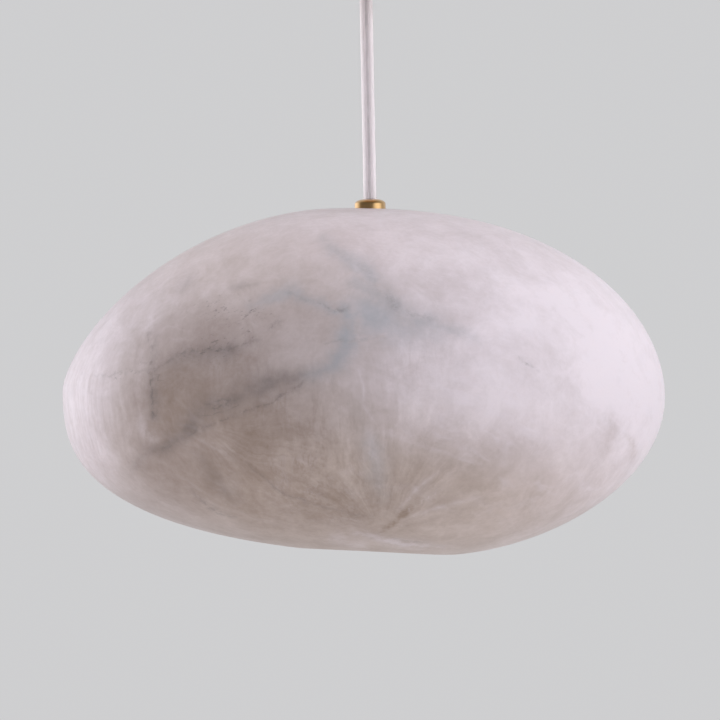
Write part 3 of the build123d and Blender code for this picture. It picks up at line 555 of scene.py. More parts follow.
class StoneForm:
    """The pebble's outside. At each level it is an oval of four quarter ellipses about a leaning
    spine; the reach of each side falls from 1 at its fullest level to 0 at the crown and the foot
    by (1 - h to the power m) to the power 1/n, with h the share of the way to the tip. A quarter's
    fullness is its pair of n and m."""

    UPPER_LEFT, UPPER_RIGHT = (1.82, 1.51), (2.37, 1.93)
    LOWER_LEFT, LOWER_RIGHT = (2.06, 2.78), (1.77, 2.01)
    UPPER_DEPTH, LOWER_DEPTH = (2.0, 1.9), (2.6, 2.4)
    LEFT_LEVEL, RIGHT_LEVEL, FRONT_LEVEL, BACK_LEVEL = -0.0877, -0.0954, -0.0900, -0.0960
    LEAST_REACH = 1e-7
    LONGEST_RAY, HALVINGS = 0.3, 46
    CROWDING = 0.28
    WAVE, WAVES_ROUND, WAVES_DOWN = 0.0016, 3, 5
    LIP_ROWS, BORE_ROWS, LOWER_ROWS, UPPER_ROWS, ROOF_ROWS, HOLE_ROWS = 6, 5, 21, 24, 4, 2

    def __init__(self, sizes):
        self.s = sizes

    def quarter(self, level, side, tip, fullness):
        """Share of the full reach in one quarter."""
        way = np.clip((level - side) / (tip - side), 0, 1)
        return (1 - way ** fullness[1]) ** (1 / fullness[0])

    def reach(self, level, side, upper, lower):
        """Share of the full reach at a level, from the upper or the lower quarter."""
        over = self.quarter(level, side, self.s.crown, upper)
        under = self.quarter(level, side, -self.s.foot, lower)
        return np.where(level > side, over, under)

    def outside(self, x, y, level):
        """Below 0 inside the stone, 0 on its surface and above 0 outside."""
        s = self.s
        rise = (level + s.foot) / (s.crown + s.foot)
        spine = s.foot_x + (s.crown_x - s.foot_x) * rise
        tip = np.where(level > self.LEFT_LEVEL, s.crown_x, s.foot_x)
        full = self.reach(level, self.LEFT_LEVEL, self.UPPER_LEFT, self.LOWER_LEFT)
        left = tip - (tip + s.left) * full
        tip = np.where(level > self.RIGHT_LEVEL, s.crown_x, s.foot_x)
        full = self.reach(level, self.RIGHT_LEVEL, self.UPPER_RIGHT, self.LOWER_RIGHT)
        right = tip + (s.right - tip) * full
        front = s.front * self.reach(level, self.FRONT_LEVEL, self.UPPER_DEPTH, self.LOWER_DEPTH)
        back = s.back * self.reach(level, self.BACK_LEVEL, self.UPPER_DEPTH, self.LOWER_DEPTH)
        wide = np.maximum(np.where(x > spine, right - spine, spine - left), self.LEAST_REACH)
        deep = np.maximum(np.where(y > 0, back, front), self.LEAST_REACH)
        beyond = (level > s.crown) | (level < -s.foot)
        return np.where(beyond, 1.0, ((x - spine) / wide) ** 2 + (y / deep) ** 2 - 1)

    def along(self, start, step):
        """How far each ray from inside the stone runs until it comes out, by halving."""
        near = np.zeros(np.broadcast(*start, *step).shape)
        far = np.full_like(near, self.LONGEST_RAY)
        for _ in range(self.HALVINGS):
            middle = (near + far) / 2
            out = self.outside(*(a + middle * b for a, b in zip(start, step))) > 0
            near, far = np.where(out, near, middle), np.where(out, middle, far)
        return (near + far) / 2

    def skin(self):
        """The whole skin of the stone as one grid that closes both ways. Columns are directions round
        the cord, shifted by a cosine so that they lie closer at the back. Rows run from the ground
        seat down the outside on rays from the middle, round the mouth's edge by a quarter circle, up
        the bore, over the turned hollow by two quarter ellipses, along the roof and up the drilled
        hole back to the seat. The outside is waved a little, by a sine of the angle round and the
        angle down."""
        s = self.s
        even = circle(s.rounds)[None, :]
        turn = even + self.CROWDING * np.cos(even)
        middle = (s.crown - s.foot) / 2
        seat, edge, mouth, hole = s.seat_d / 2, s.mouth_d / 2 + s.mouth_round, s.mouth_d / 2, s.bore_d / 2
        up = self.along((seat * np.cos(turn), seat * np.sin(turn), middle), (0.0, 0.0, 1.0))
        down = self.along((edge * np.cos(turn), edge * np.sin(turn), middle), (0.0, 0.0, -1.0))
        first, last = np.arctan2(seat, up), np.arctan2(edge, -down)
        polar = first + (last - first) * np.linspace(0, 1, s.rows)[:, None]
        sideways, upwards = np.sin(polar), np.cos(polar)
        run = self.along((0.0, 0.0, middle), (sideways * np.cos(turn), sideways * np.sin(turn), upwards))
        run *= 1 + self.WAVE * np.sin(self.WAVES_ROUND * turn + self.WAVES_DOWN * polar) * sideways**2
        outside = rings(run * sideways, turn, middle + run * upwards)

        foot = middle - down
        bend = math.pi / 2 * steps(self.LIP_ROWS)
        lip = rings(edge - s.mouth_round * np.sin(bend), turn, foot + s.mouth_round * (1 - np.cos(bend)))
        bore_x, bore_y = mouth * np.cos(turn) - s.hollow_x, mouth * np.sin(turn) - s.hollow_y
        wide, about = np.hypot(bore_x, bore_y), np.arctan2(bore_y, bore_x)
        floor, roof, side = s.floor_d / 2, s.roof_d / 2, s.hollow_d / 2
        fall, rise = s.floor_level - s.hollow_level, s.roof_level - s.hollow_level
        begin = np.arcsin(np.clip((wide - floor) / (side - floor), 0, 1))
        low, top = foot + s.mouth_round, s.hollow_level + fall * np.cos(begin)
        bore = rings(mouth, turn, low + (top - low) * steps(self.BORE_ROWS))

        def hollow(radius, level):
            """Rings round the hollow's own axis."""
            return rings(radius, about, level, s.hollow_x, s.hollow_y)

        swell = begin + (math.pi / 2 - begin) * steps(self.LOWER_ROWS)
        lower = hollow(floor + (side - floor) * np.sin(swell), s.hollow_level + fall * np.cos(swell))
        swell = math.pi / 2 * steps(self.UPPER_ROWS)
        upper = hollow(roof + (side - roof) * np.cos(swell), s.hollow_level + rise * np.sin(swell))
        brim = rings(hole, turn, s.roof_level)
        ceiling = upper[-1:] + (brim - upper[-1:]) * steps(self.ROOF_ROWS)[..., None]
        drilled = rings(hole, turn, s.roof_level * (1 - steps(self.HOLE_ROWS)))
        grid = np.concatenate([outside, lip, bore, lower, upper, ceiling, drilled, rings(seat, turn, 0.0)])
        grid[..., 2] += SEAT
        return grid


def photo_plane(pixel):
    """Sideways place and height, on the upright plane through the cord, of a photograph's pixel."""
    roll = bpy.context.scene.pendant_stage.roll
    across = pixel[..., 0] - SEAT_PIXEL[0]
    down = pixel[..., 1] - SEAT_PIXEL[1]
    return (
        METRES_PER_PIXEL * (across * math.cos(roll) - down * math.sin(roll)),
        SEAT - METRES_PER_PIXEL * (across * math.sin(roll) + down * math.cos(roll)),
    )


def camera_place():
    """The camera stands in front of the middle of the photograph, level with it."""
    x, z = photo_plane(np.array([PHOTO_SIDE / 2, PHOTO_SIDE / 2]))
    return np.array([x, -bpy.context.scene.pendant_stage.distance, z])


def on_stone(form, pixels):
    """Points of the stone's near side that the photograph shows at these pixels: each sight line is
    walked back from the upright plane through the cord until it comes out of the stone."""
    x, z = photo_plane(np.asarray(pixels, float))
    target = np.stack([x, np.zeros_like(x), z], -1)
    step = camera_place() - target
    step /= np.linalg.norm(step, axis=-1, keepdims=True)
    run = form.along((x, target[:, 1], z - SEAT), step.T)
    return target + run[:, None] * step


def vein_frames(points, form, near, sort):
    """Coordinates of each point in the nearest vein of one sort. A vein is a sheet that runs straight
    back from its line. Kept are the signed distance from the line, the half width there, and the
    strength there, which falls off past an end, away from the line and on the far side. A wide vein
    keeps its plain distance."""
    flat = points[:, [0, 2]]
    frames = np.tile(NO_VEIN, (len(points), 1))
    closest = np.full(len(points), np.inf)
    for stops in VEINS[sort].values():
        stops = np.array(stops, float)
        spots = on_stone(form, stops[:, :2])[:, [0, 2]]
        line = np.c_[spots, stops[:, 2] * METRES_PER_PIXEL, stops[:, 3]]
        line = smooth_line(line, VEIN_STEPS * len(stops))
        inside = (flat > line[:, :2].min(0) - VEIN_MARGIN) & (flat < line[:, :2].max(0) + VEIN_MARGIN)
        rows = np.nonzero(inside.all(1) & (near > 0))[0]
        offset = flat[rows, None] - line[None, :, :2]
        distance = np.hypot(offset[..., 0], offset[..., 1])
        pick = distance.argmin(1)
        offset = offset[np.arange(len(rows)), pick]
        distance = distance[np.arange(len(rows)), pick]
        heading = np.gradient(line[:, :2], axis=0)
        heading = (heading / np.linalg.norm(heading, axis=1, keepdims=True))[pick]
        side = heading[:, 0] * offset[:, 1] - heading[:, 1] * offset[:, 0]
        beyond = np.where((pick == 0) | (pick == len(line) - 1), (heading * offset).sum(1), 0.0)
        width = line[pick, 2]
        fade = np.exp(-((beyond / np.maximum(width, END_FADE)) ** 2)) * near[rows]
        fade *= soft_step(FADE_TO[0] * width + FADE_TO[1], FADE_FROM[0] * width + FADE_FROM[1], distance)
        side = distance if line[:, 2].max() > FINE_VEIN else side
        found = np.stack([side, width, np.clip(line[pick, 3], 0, 1) * fade], -1)
        nearer = distance / width < closest[rows]
        closest[rows[nearer]] = (distance / width)[nearer]
        frames[rows[nearer]] = found[nearer]
    return frames


def fan_frame(points, apex, near):
    """Polar coordinates about a fan's foot: angle from straight up, distance, and the near side."""
    across, up = (points[:, [0, 2]] - apex[[0, 2]]).T
    return np.stack([np.arctan2(across, up), np.hypot(across, up), near], -1)


def patchwork(points, patches, base):
    """A sum of bell-shaped patches at set places on the near side, and on the far side a mirrored,
    milder sum of the same."""
    eye = camera_place()
    spread = eye[1] / (eye[1] - points[:, 1])
    x = eye[0] + (points[:, 0] - eye[0]) * spread
    z = eye[2] + (points[:, 2] - eye[2]) * spread
    far = soft_step(*FAR_SIDE, points[:, 1])
    total = np.full(len(points), base)
    for pixel, half, depth in patches.values():
        px, pz = photo_plane(np.array(pixel, float))
        sx, sz = METRES_PER_PIXEL * half[0], METRES_PER_PIXEL * half[1]
        shown = np.exp(-(((x - px) / sx) ** 2) - ((z - pz) / sz) ** 2)
        behind = (points[:, 0] + MIRROR_PLACE * px) / (MIRROR_WIDTH * sx)
        hidden = np.exp(-(behind**2) - ((points[:, 2] - pz) / sz) ** 2)
        total += depth * (shown * (1 - far) + MIRROR_DEPTH * hidden * far)
    return np.clip(total, 0, DEEPEST_PATCH)


# Shader helpers


class Value:
    """One value in a node tree. Arithmetic on it, and its methods, add nodes to that tree."""

    def __init__(self, nodes, socket):
        self.nodes = nodes
        self.socket = socket

    def math(self, operation, *others):
        """One step of arithmetic that begins with this value."""
        return self.nodes.make("Math", dict(enumerate((self, *others))), operation=operation)

    __add__ = __radd__ = partialmethod(math, "ADD")
    __mul__ = __rmul__ = partialmethod(math, "MULTIPLY")
    __sub__ = partialmethod(math, "SUBTRACT")
    __truediv__ = partialmethod(math, "DIVIDE")
    __pow__ = partialmethod(math, "POWER")
    __abs__ = partialmethod(math, "ABSOLUTE")

    def clamped(self):
        """This result of arithmetic, kept between 0 and 1."""
        self.socket.node.use_clamp = True
        return self

    def step(self, low, high, to_low=0.0, to_high=1.0):
        """This value carried from one range to another by a smooth step."""
        ends = {"Value": self, "From Min": low, "From Max": high, "To Min": to_low, "To Max": to_high}
        return self.nodes.make("MapRange", ends, "Result", interpolation_type="SMOOTHSTEP")

    def noise(self, scale, detail=4.0, roughness=0.55, distortion=0.0, output=0):
        """Cloudy noise between 0 and 1 at this place. Output 1 is a noise of three values."""
        look = {"Scale": scale, "Detail": detail, "Roughness": roughness, "Distortion": distortion}
        return self.nodes.make("TexNoise", {"Vector": self, **look}, output)

    def mapped(self, scale=(1.0, 1.0, 1.0), place=(0.0, 0.0, 0.0), turn=(0.0, 0.0, 0.0)):
        """This place stretched, turned and moved."""
        change = {"Scale": scale, "Location": place, "Rotation": turn}
        return self.nodes.make("Mapping", {"Vector": self, **change})

    def vector(self, operation, *others, output=0):
        """One step of vector arithmetic that begins with this value."""
        return self.nodes.make("VectorMath", dict(enumerate((self, *others))), output, operation=operation)

    def parts(self):
        """The three parts of this vector."""
        return [Value(self.nodes, part) for part in self.nodes.node("SeparateXYZ", {0: self}).outputs]

    def over(self, below, above, way="MIX"):
        """One colour laid over another, with this value as its share."""
        layers = {0: self, 6: below, 7: above}
        return self.nodes.make("Mix", layers, 2, data_type="RGBA", blend_type=way, clamp_factor=True)


class Nodes:
    """Makes nodes in one tree."""

    def __init__(self, tree):
        self.tree = tree

    def fill(self, node, inputs):
        """Gives each input a number or a link from a value. A name may have underscores for spaces."""
        for key, given in inputs.items():
            socket = node.inputs[key.replace("_", " ") if isinstance(key, str) else key]
            if isinstance(given, Value):
                self.tree.links.new(given.socket, socket)
            else:
                socket.default_value = given
        return node

    def node(self, kind, inputs=None, **settings):
        """A shader node with its own settings and its inputs."""
        made = self.tree.nodes.new("ShaderNode" + kind)
        for name, setting in settings.items():
            setattr(made, name, setting)
        return self.fill(made, inputs or {})

    def make(self, kind, inputs=None, output=0, **settings):
        """One output of a new node."""
        return Value(self, self.node(kind, inputs, **settings).outputs[output])

    def place(self):
        """Object coordinates."""
        return self.make("TexCoord", output="Object")

    def attribute(self, name, output="Fac"):
        """A number, or a vector, that the mesh keeps for each point."""
        return self.make("Attribute", output=output, attribute_name=name)

    def rays(self, *kinds):
        """1 on rays of these kinds, 0 on others."""
        path = self.node("LightPath").outputs
        found = Value(self, path[f"Is {kinds[0]} Ray"])
        for kind in kinds[1:]:
            found = found.math("MAXIMUM", Value(self, path[f"Is {kind} Ray"]))
        return found

    def use(self, effect, **inputs):
        """Places a shared effect and gives its outputs by name."""
        placed = self.node("Group", inputs, node_tree=effect_group(effect))
        return {socket.name: Value(self, socket) for socket in placed.outputs}

    def feed(self, shader, height, depth, **inputs):
        """Fills a shader's inputs and gives its surface fine relief from a height."""
        relief = self.make("Bump", {"Height": height, "Distance": depth, "Strength": 1.0})
        self.fill(shader, {**inputs, "Normal": relief})


def rgba(colour, part=1.0):
    """A colour, or a part of it, with full cover."""
    return (*np.multiply(colour, part).tolist(), 1.0)


def finish_of(name, **inputs):
    """A new material with one Principled BSDF, and its nodes and shader."""
    material = bpy.data.materials.new(name)
    material.use_nodes = True
    material.node_tree.nodes.clear()
    nodes = Nodes(material.node_tree)
    shader = nodes.node("BsdfPrincipled", inputs)
    nodes.node("OutputMaterial", {"Surface": Value(nodes, shader.outputs[0])}, is_active_output=True)
    return material, nodes, shader


# Shared effects


def vein_effect(nodes, given):
    """A vein's mask: a bell curve of the distance from its line, which wanders with noise, over the
    vein's own half width, times its strength, and broken by finer noise."""
    side, half, strength = given["Frame"].parts()
    where = nodes.place()
    wander = where.noise(95.0, 8.0, 0.72) - 0.5
    reach = (side + wander * (half * given["Sway"] + given["Wander"])) / half
    bell = (abs(reach) ** given["Edge"] * -1.0).math("EXPONENT")
    kept = where.mapped(place=(0.31, 0.17, 0.23)).noise(given["Grain"], 5.0, 0.68).step(0.36, 0.60)
    gap = given["Broken"] * (kept - 1.0) + 1.0
    return {"Mask": (bell * gap * strength).clamped()}


def cloud_effect(nodes, given):
    """Three sizes of cloud in one value round 0, from soft banks to fine crystals."""
    where = nodes.place().vector("ADD", given["Shift"])
    bank = where.noise(given["Scale"], 3.0, 0.5, 0.8)
    puff = where.noise(given["Scale"] * 4.0, 5.0, 0.6, 0.4)
    grain = where.noise(given["Scale"] * 26.0, 3.0, 0.6)
    return {"Value": bank - 0.5 + (puff - 0.5) * 0.75 + (grain - 0.5) * 0.35, "Grain": grain}


def wisp_effect(nodes, given):
    """Thin milky wisps: ridges of noise, drawn out along one way and bent by a second noise."""
    where = nodes.place()
    bend = where.noise(38.0, 3.0, 0.5, output=1).vector("SUBTRACT", (0.5, 0.5, 0.5))
    bent = bend.vector("MULTIPLY_ADD", (0.009, 0.009, 0.009), where)
    drawn = bent.mapped(turn=given["Turn"]).mapped(given["Stretch"])
    body = drawn.noise(1.0, given["Detail"], 0.6) - 0.5
    broken = where.noise(60.0, 4.0, 0.6).step(0.42, 0.66)
    return {"Wisp": abs(body).step(0.08, 0.0) * broken, "Body": body}


def smudge_effect(nodes, given):
    """Handling marks: cloudy dullness and fine specks of dust."""
    where = nodes.place()
    cloud = where.noise(given["Scale"], 4.0, 0.6, 0.3)
    dust = where.noise(given["Scale"] * 22.0, 2.0)
    return {"Dull": cloud.step(0.35, 0.7), "Dust": dust.step(0.62, 0.78)}


def turning_effect(nodes, given):
    """Turning marks of a lathe: fine noise that changes only with the distance from the upright axis
    and with the height, so it runs in rings."""
    x, y, z = nodes.place().parts()
    radius = (x * x + y * y).math("SQRT")
    ring = nodes.make("CombineXYZ", {0: radius, 1: z, 2: y.math("ARCTAN2", x) * 0.0006})
    fine = ring.noise(given["Scale"], 3.0, 0.7)
    broad = ring.noise(given["Scale"] * 0.22, 2.0, 0.5)
    return {"Ring": broad * 0.4 + fine * 0.6}


def mottle_effect(nodes, given):
    """A fine moulded or glazed surface: colour mottle and height."""
    where = nodes.place()
    mottle = where.noise(given["Scale"], 4.0, 0.6).step(0.35, 0.7, 0.0, 0.22)
    pits = where.noise(given["Scale"] * 6.0, 3.0, 0.6)
    return {"Colour": mottle.over(given["Colour"], given["Shade"]), "Height": pits}


# Each effect by the name of its node group, with its inputs and what they are at first
ORIGIN, WHITE = (0.0, 0.0, 0.0), (1.0, 1.0, 1.0, 1.0)
EFFECTS = {
    "Stone vein": (
        vein_effect,
        {"Frame": ORIGIN, "Wander": 0.003, "Sway": 0.5, "Edge": 1.6, "Broken": 0.5, "Grain": 90.0},
    ),
    "Stone clouds": (cloud_effect, {"Scale": 18.0, "Shift": ORIGIN}),
    "Stone wisps": (wisp_effect, {"Turn": ORIGIN, "Stretch": ORIGIN, "Detail": 5.0}),
    "Handling marks": (smudge_effect, {"Scale": 120.0}),
    "Turning marks": (turning_effect, {"Scale": 4500.0}),
    "Moulded mottle": (mottle_effect, {"Colour": WHITE, "Shade": WHITE, "Scale": 300.0}),
}
INPUT_KINDS = {1: "NodeSocketFloat", 3: "NodeSocketVector", 4: "NodeSocketColor"}
OUTPUT_KINDS = {"VALUE": "NodeSocketFloat", "VECTOR": "NodeSocketVector", "RGBA": "NodeSocketColor"}


def effect_group(name):
    """The node group of a shared effect, made once."""
    if name in bpy.data.node_groups:
        return bpy.data.node_groups[name]
    effect, inputs = EFFECTS[name]
    tree = bpy.data.node_groups.new(name, "ShaderNodeTree")
    nodes = Nodes(tree)
    for label, value in inputs.items():
        kind = INPUT_KINDS[np.size(value)]
        tree.interface.new_socket(name=label, in_out="INPUT", socket_type=kind).default_value = value
    entry = tree.nodes.new("NodeGroupInput").outputs
    found = effect(nodes, {label: Value(nodes, entry[label]) for label in inputs})
    for label, value in found.items():
        kind = OUTPUT_KINDS[value.socket.type]
        tree.interface.new_socket(name=label, in_out="OUTPUT", socket_type=kind)
    nodes.fill(tree.nodes.new("NodeGroupOutput"), found)
    return tree


# Finishes


def fan_streaks(nodes, name):
    """Streaks that run out from a fan's foot: noise that changes fast with the angle, bent by cloudy
    noise, kept to one sector, and faded close to the foot and far from it."""
    fan = FANS[name]
    angle, distance, near = nodes.attribute(name, "Vector").parts()
    bend = nodes.place().noise(30.0, 5.0, 0.6) - 0.5
    polar = nodes.make("CombineXYZ", {0: bend * 0.55 + angle, 1: distance})
    streak = polar.mapped((*fan["streaks"], 1.0)).noise(1.0, 6.0, 0.66, 0.3)
    gate = distance.step(*fan["fade"][::-1]) * near * distance.step(0.004, 0.022)
    gate = gate * angle.step(*fan["left"]) * angle.step(*fan["right"][::-1])
    return (streak - 0.5) * fan["depth"] * gate


def alabaster_finish():
    """Honed alabaster: pale ends, grey-brown over the hollow, slate and umber veins, crystal fans. The
    grey-brown over the hollow is partly the stone's own colour and partly painted shade of the hollow seen
    through the thin wall; the foot carries painted shade, and a few pale marks are painted glints. The
    far side has veins of its own, on noisy sheets through the stone."""
    s = bpy.context.scene.pendant_stone
    material, nodes, shader = finish_of(
        "alabaster",
        Subsurface_Weight=0.12,
        Subsurface_Radius=(1.0, 0.82, 0.74),
        Subsurface_Scale=0.0025,
        Specular_IOR_Level=0.42,
        IOR=1.53,
    )
    where = nodes.place()
    clouds = nodes.use("Stone clouds", Scale=19.0, Shift=(0.13, 0.07, 0.02))
    strokes = nodes.use("Stone wisps", Stretch=(330.0, 330.0, 34.0))
    wisps = nodes.use("Stone wisps", Turn=(0.0, -0.44, 0.0), Stretch=(17.0, 55.0, 105.0), Detail=2.5)
    mottle = where.noise(55.0, 8.0, 0.74, 1.4) - 0.5
    combed = nodes.attribute("combed")
    # The tone holds the broad patches, among them painted shade over the thin wall and along the foot
    tone = nodes.attribute("tone")
    stir = tone.step(0.02, 0.35, 0.22, 0.36)
    tone = tone + clouds["Value"] * stir + mottle * stir + strokes["Body"] * (combed * 0.42 + 0.05)
    for name in FANS:
        tone = tone + fan_streaks(nodes, name)
    ramp = nodes.node("ValToRGB", {"Fac": tone})
    stops = ramp.color_ramp.elements
    stops[0].position, stops[0].color = 0.0, rgba(s.pale)
    stops[1].position, stops[1].color = 1.0, rgba(s.brown)
    for place, colour in ((0.20, s.rosy), (0.40, s.dove), (0.63, s.grey), (0.85, s.taupe)):
        stops.new(place).color = rgba(colour)
    colour = nodes.attribute("warmth").over(Value(nodes, ramp.outputs[0]), rgba(s.honey), "MULTIPLY")

    veins = {}
    for sort, look in VEIN_LOOKS.items():
        veins[sort] = nodes.use("Stone vein", Frame=nodes.attribute(sort, "Vector"), **look)["Mask"]
    for sort, strength in (("slate", 0.95), ("smoke", 0.80), ("rust", 0.75)):
        colour = (veins[sort] * strength).over(colour, rgba(getattr(s, sort)))
    milk = strokes["Wisp"] * (combed * 0.14) + wisps["Wisp"] * nodes.attribute("wisps") * 0.30
    # Pale veins and milky wisps are laid in here, with a few painted glints among the pale veins
    colour = (veins["pale"] * 0.7 + milk).clamped().over(colour, rgba(s.pale))
    line = veins["line"] * 0.66
    colour = line.over(colour, rgba(s.umber))
    dashes = where.mapped(turn=(0.0, 0.35, 0.0)).mapped((400.0, 420.0, 780.0)).noise(1.0, 5.0, 0.7)
    dashes = (veins["speck"] * 0.09 + dashes).step(0.60, 0.78) * (veins["speck"] * 1.6).clamped()
    colour = (dashes * 0.7).over(colour, rgba(s.umber))

    sheet = where.noise(9.0, 3.0, 0.45) * 0.14 + where.vector("DOT_PRODUCT", (0.5, 0.3, 0.8), output="Value")
    ridge = sheet.math("PINGPONG", 0.045)
    patch = where.mapped(place=(0.4, 0.2, 0.6)).noise(9.0, 2.0).step(0.45, 0.62)
    away = patch * (nodes.attribute("near") * -1.0 + 1.0)
    for half, strength, tinge in ((0.008, 0.55, s.slate), (0.0018, 0.38, s.umber)):
        colour = (ridge.step(half, 0.0) * away * strength).over(colour, rgba(tinge))

    polish = where.mapped((90.0, 90.0, 420.0), turn=(0.3, 0.5, 0.2)).noise(1.0, 4.0, 0.65)
    rough = (polish - 0.5) * 0.16 + s.roughness + (clouds["Grain"] - 0.5) * 0.10
    height = clouds["Grain"] * 0.5 + polish * 0.5 - line * 0.6
    nodes.feed(shader, height, STONE_RELIEF, Base_Color=colour, Roughness=rough)
    return material


def clear_finish():
    """Clear flexible jacket: slightly milky, with faint extrusion lines along it. Most light passes
    through to what it covers."""
    jacket = bpy.context.scene.pendant_cord.jacket
    material, nodes, shader = finish_of("clear_jacket", IOR=1.46, Transmission_Weight=0.82)
    drawn = nodes.place().mapped(JACKET_GRAIN).noise(1.0, 3.0, 0.6)
    colour = drawn.step(0.38, 0.62, 0.0, 0.2).over(rgba(jacket), rgba(jacket, 0.88))
    rough = nodes.use("Handling marks", Scale=150.0)["Dull"] * 0.08 + 0.07
    cover = nodes.rays("Shadow") * -0.9 + 1.0
    nodes.feed(shader, drawn, FINE_RELIEF, Base_Color=colour, Roughness=rough, Alpha=cover)
    return material


def drawn_finish(name, colour, roughness, lines=0.35):
    """Drawn insulation: smooth, with lines along the wire and a little colour drift."""
    material, nodes, shader = finish_of(name)
    drawn = nodes.place().mapped(COVER_GRAIN).noise(1.0, 4.0, 0.6)
    shade = drawn.step(0.3, 0.7, 0.0, lines).over(rgba(colour), rgba(colour, 0.8))
    rough = nodes.use("Handling marks", Scale=160.0)["Dull"] * 0.18 + roughness
    nodes.feed(shader, drawn, FINE_RELIEF, Base_Color=shade, Roughness=rough)
    return material


def turned_finish(name, colour, roughness, lacquer=0.0):
    """Turned or brushed metal: rings round the upright axis, cloudy dulling and a darker drift."""
    material, nodes, shader = finish_of(name, Metallic=1.0, Coat_Weight=lacquer, Coat_Roughness=0.22)
    ring = nodes.use("Turning marks", Scale=4500.0)["Ring"]
    dull = nodes.use("Handling marks", Scale=110.0)["Dull"]
    drift = ring.step(0.62, 0.38) * 0.45 + dull * 0.14
    shade = drift.over(rgba(colour), rgba(colour, (0.72, 0.66, 0.56)))
    rough = dull * 0.05 + ring * 0.16 + (roughness - 0.10)
    nodes.feed(shader, ring, FINE_RELIEF, Base_Color=shade, Roughness=rough)
    return material


def plated_finish(name, colour, roughness, grain=PLATED_GRAIN, metal=1.0):
    """Plated or drawn metal: fine grain one way, cloudy bloom."""
    material, nodes, shader = finish_of(name, Metallic=metal)
    drawn = nodes.place().mapped(grain).noise(1.0, 4.0, 0.65)
    dull = nodes.use("Handling marks", Scale=140.0)["Dull"]
    drift = drawn.step(0.62, 0.36) * 0.35 + dull * 0.35
    shade = drift.over(rgba(colour), rgba(colour, 0.68))
    rough = dull * 0.14 + drawn * 0.14 + (roughness - 0.12)
    nodes.feed(shader, drawn, FINE_RELIEF, Base_Color=shade, Roughness=rough)
    return material


def moulded_finish(name, colour, roughness, scale, depth=0.00005, shade=0.78, **inputs):
    """Moulded, glazed or enamelled surface: mottle, fine pits and dull handling."""
    material, nodes, shader = finish_of(name, **inputs)
    mottle = nodes.use("Moulded mottle", Colour=rgba(colour), Shade=rgba(colour, shade), Scale=scale)
    marks = nodes.use("Handling marks", Scale=90.0)
    tinted = (marks["Dust"] * 0.18).over(mottle["Colour"], rgba(colour, 0.6))
    rough = marks["Dull"] * 0.16 + roughness
    nodes.feed(shader, mottle["Height"], depth, Base_Color=tinted, Roughness=rough)
    return material


def board_finish():
    """Light board: white lacquer with rows of yellow chips."""
    f = bpy.context.scene.pendant_fittings
    material, nodes, shader = finish_of("light_board", Roughness=0.45)
    height = nodes.place().parts()[2]
    chip = (height * MM_PER_METRE).math("PINGPONG", CHIP_PITCH / 2).step(*CHIP_EDGE)
    mottle = nodes.use("Moulded mottle", Colour=rgba(f.board), Shade=rgba(f.board, 0.8), Scale=500.0)
    nodes.feed(shader, chip, CHIP_RELIEF, Base_Color=chip.over(mottle["Colour"], rgba(f.chip)))
    return material


def dress(slot, material):
    """Gives a finish to the CAD nodes of one material slot."""
    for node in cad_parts.values():
        for place in node.material_slots:
            if place.material and place.material.name.split(".")[0] == slot:
                place.material = material


# Operators


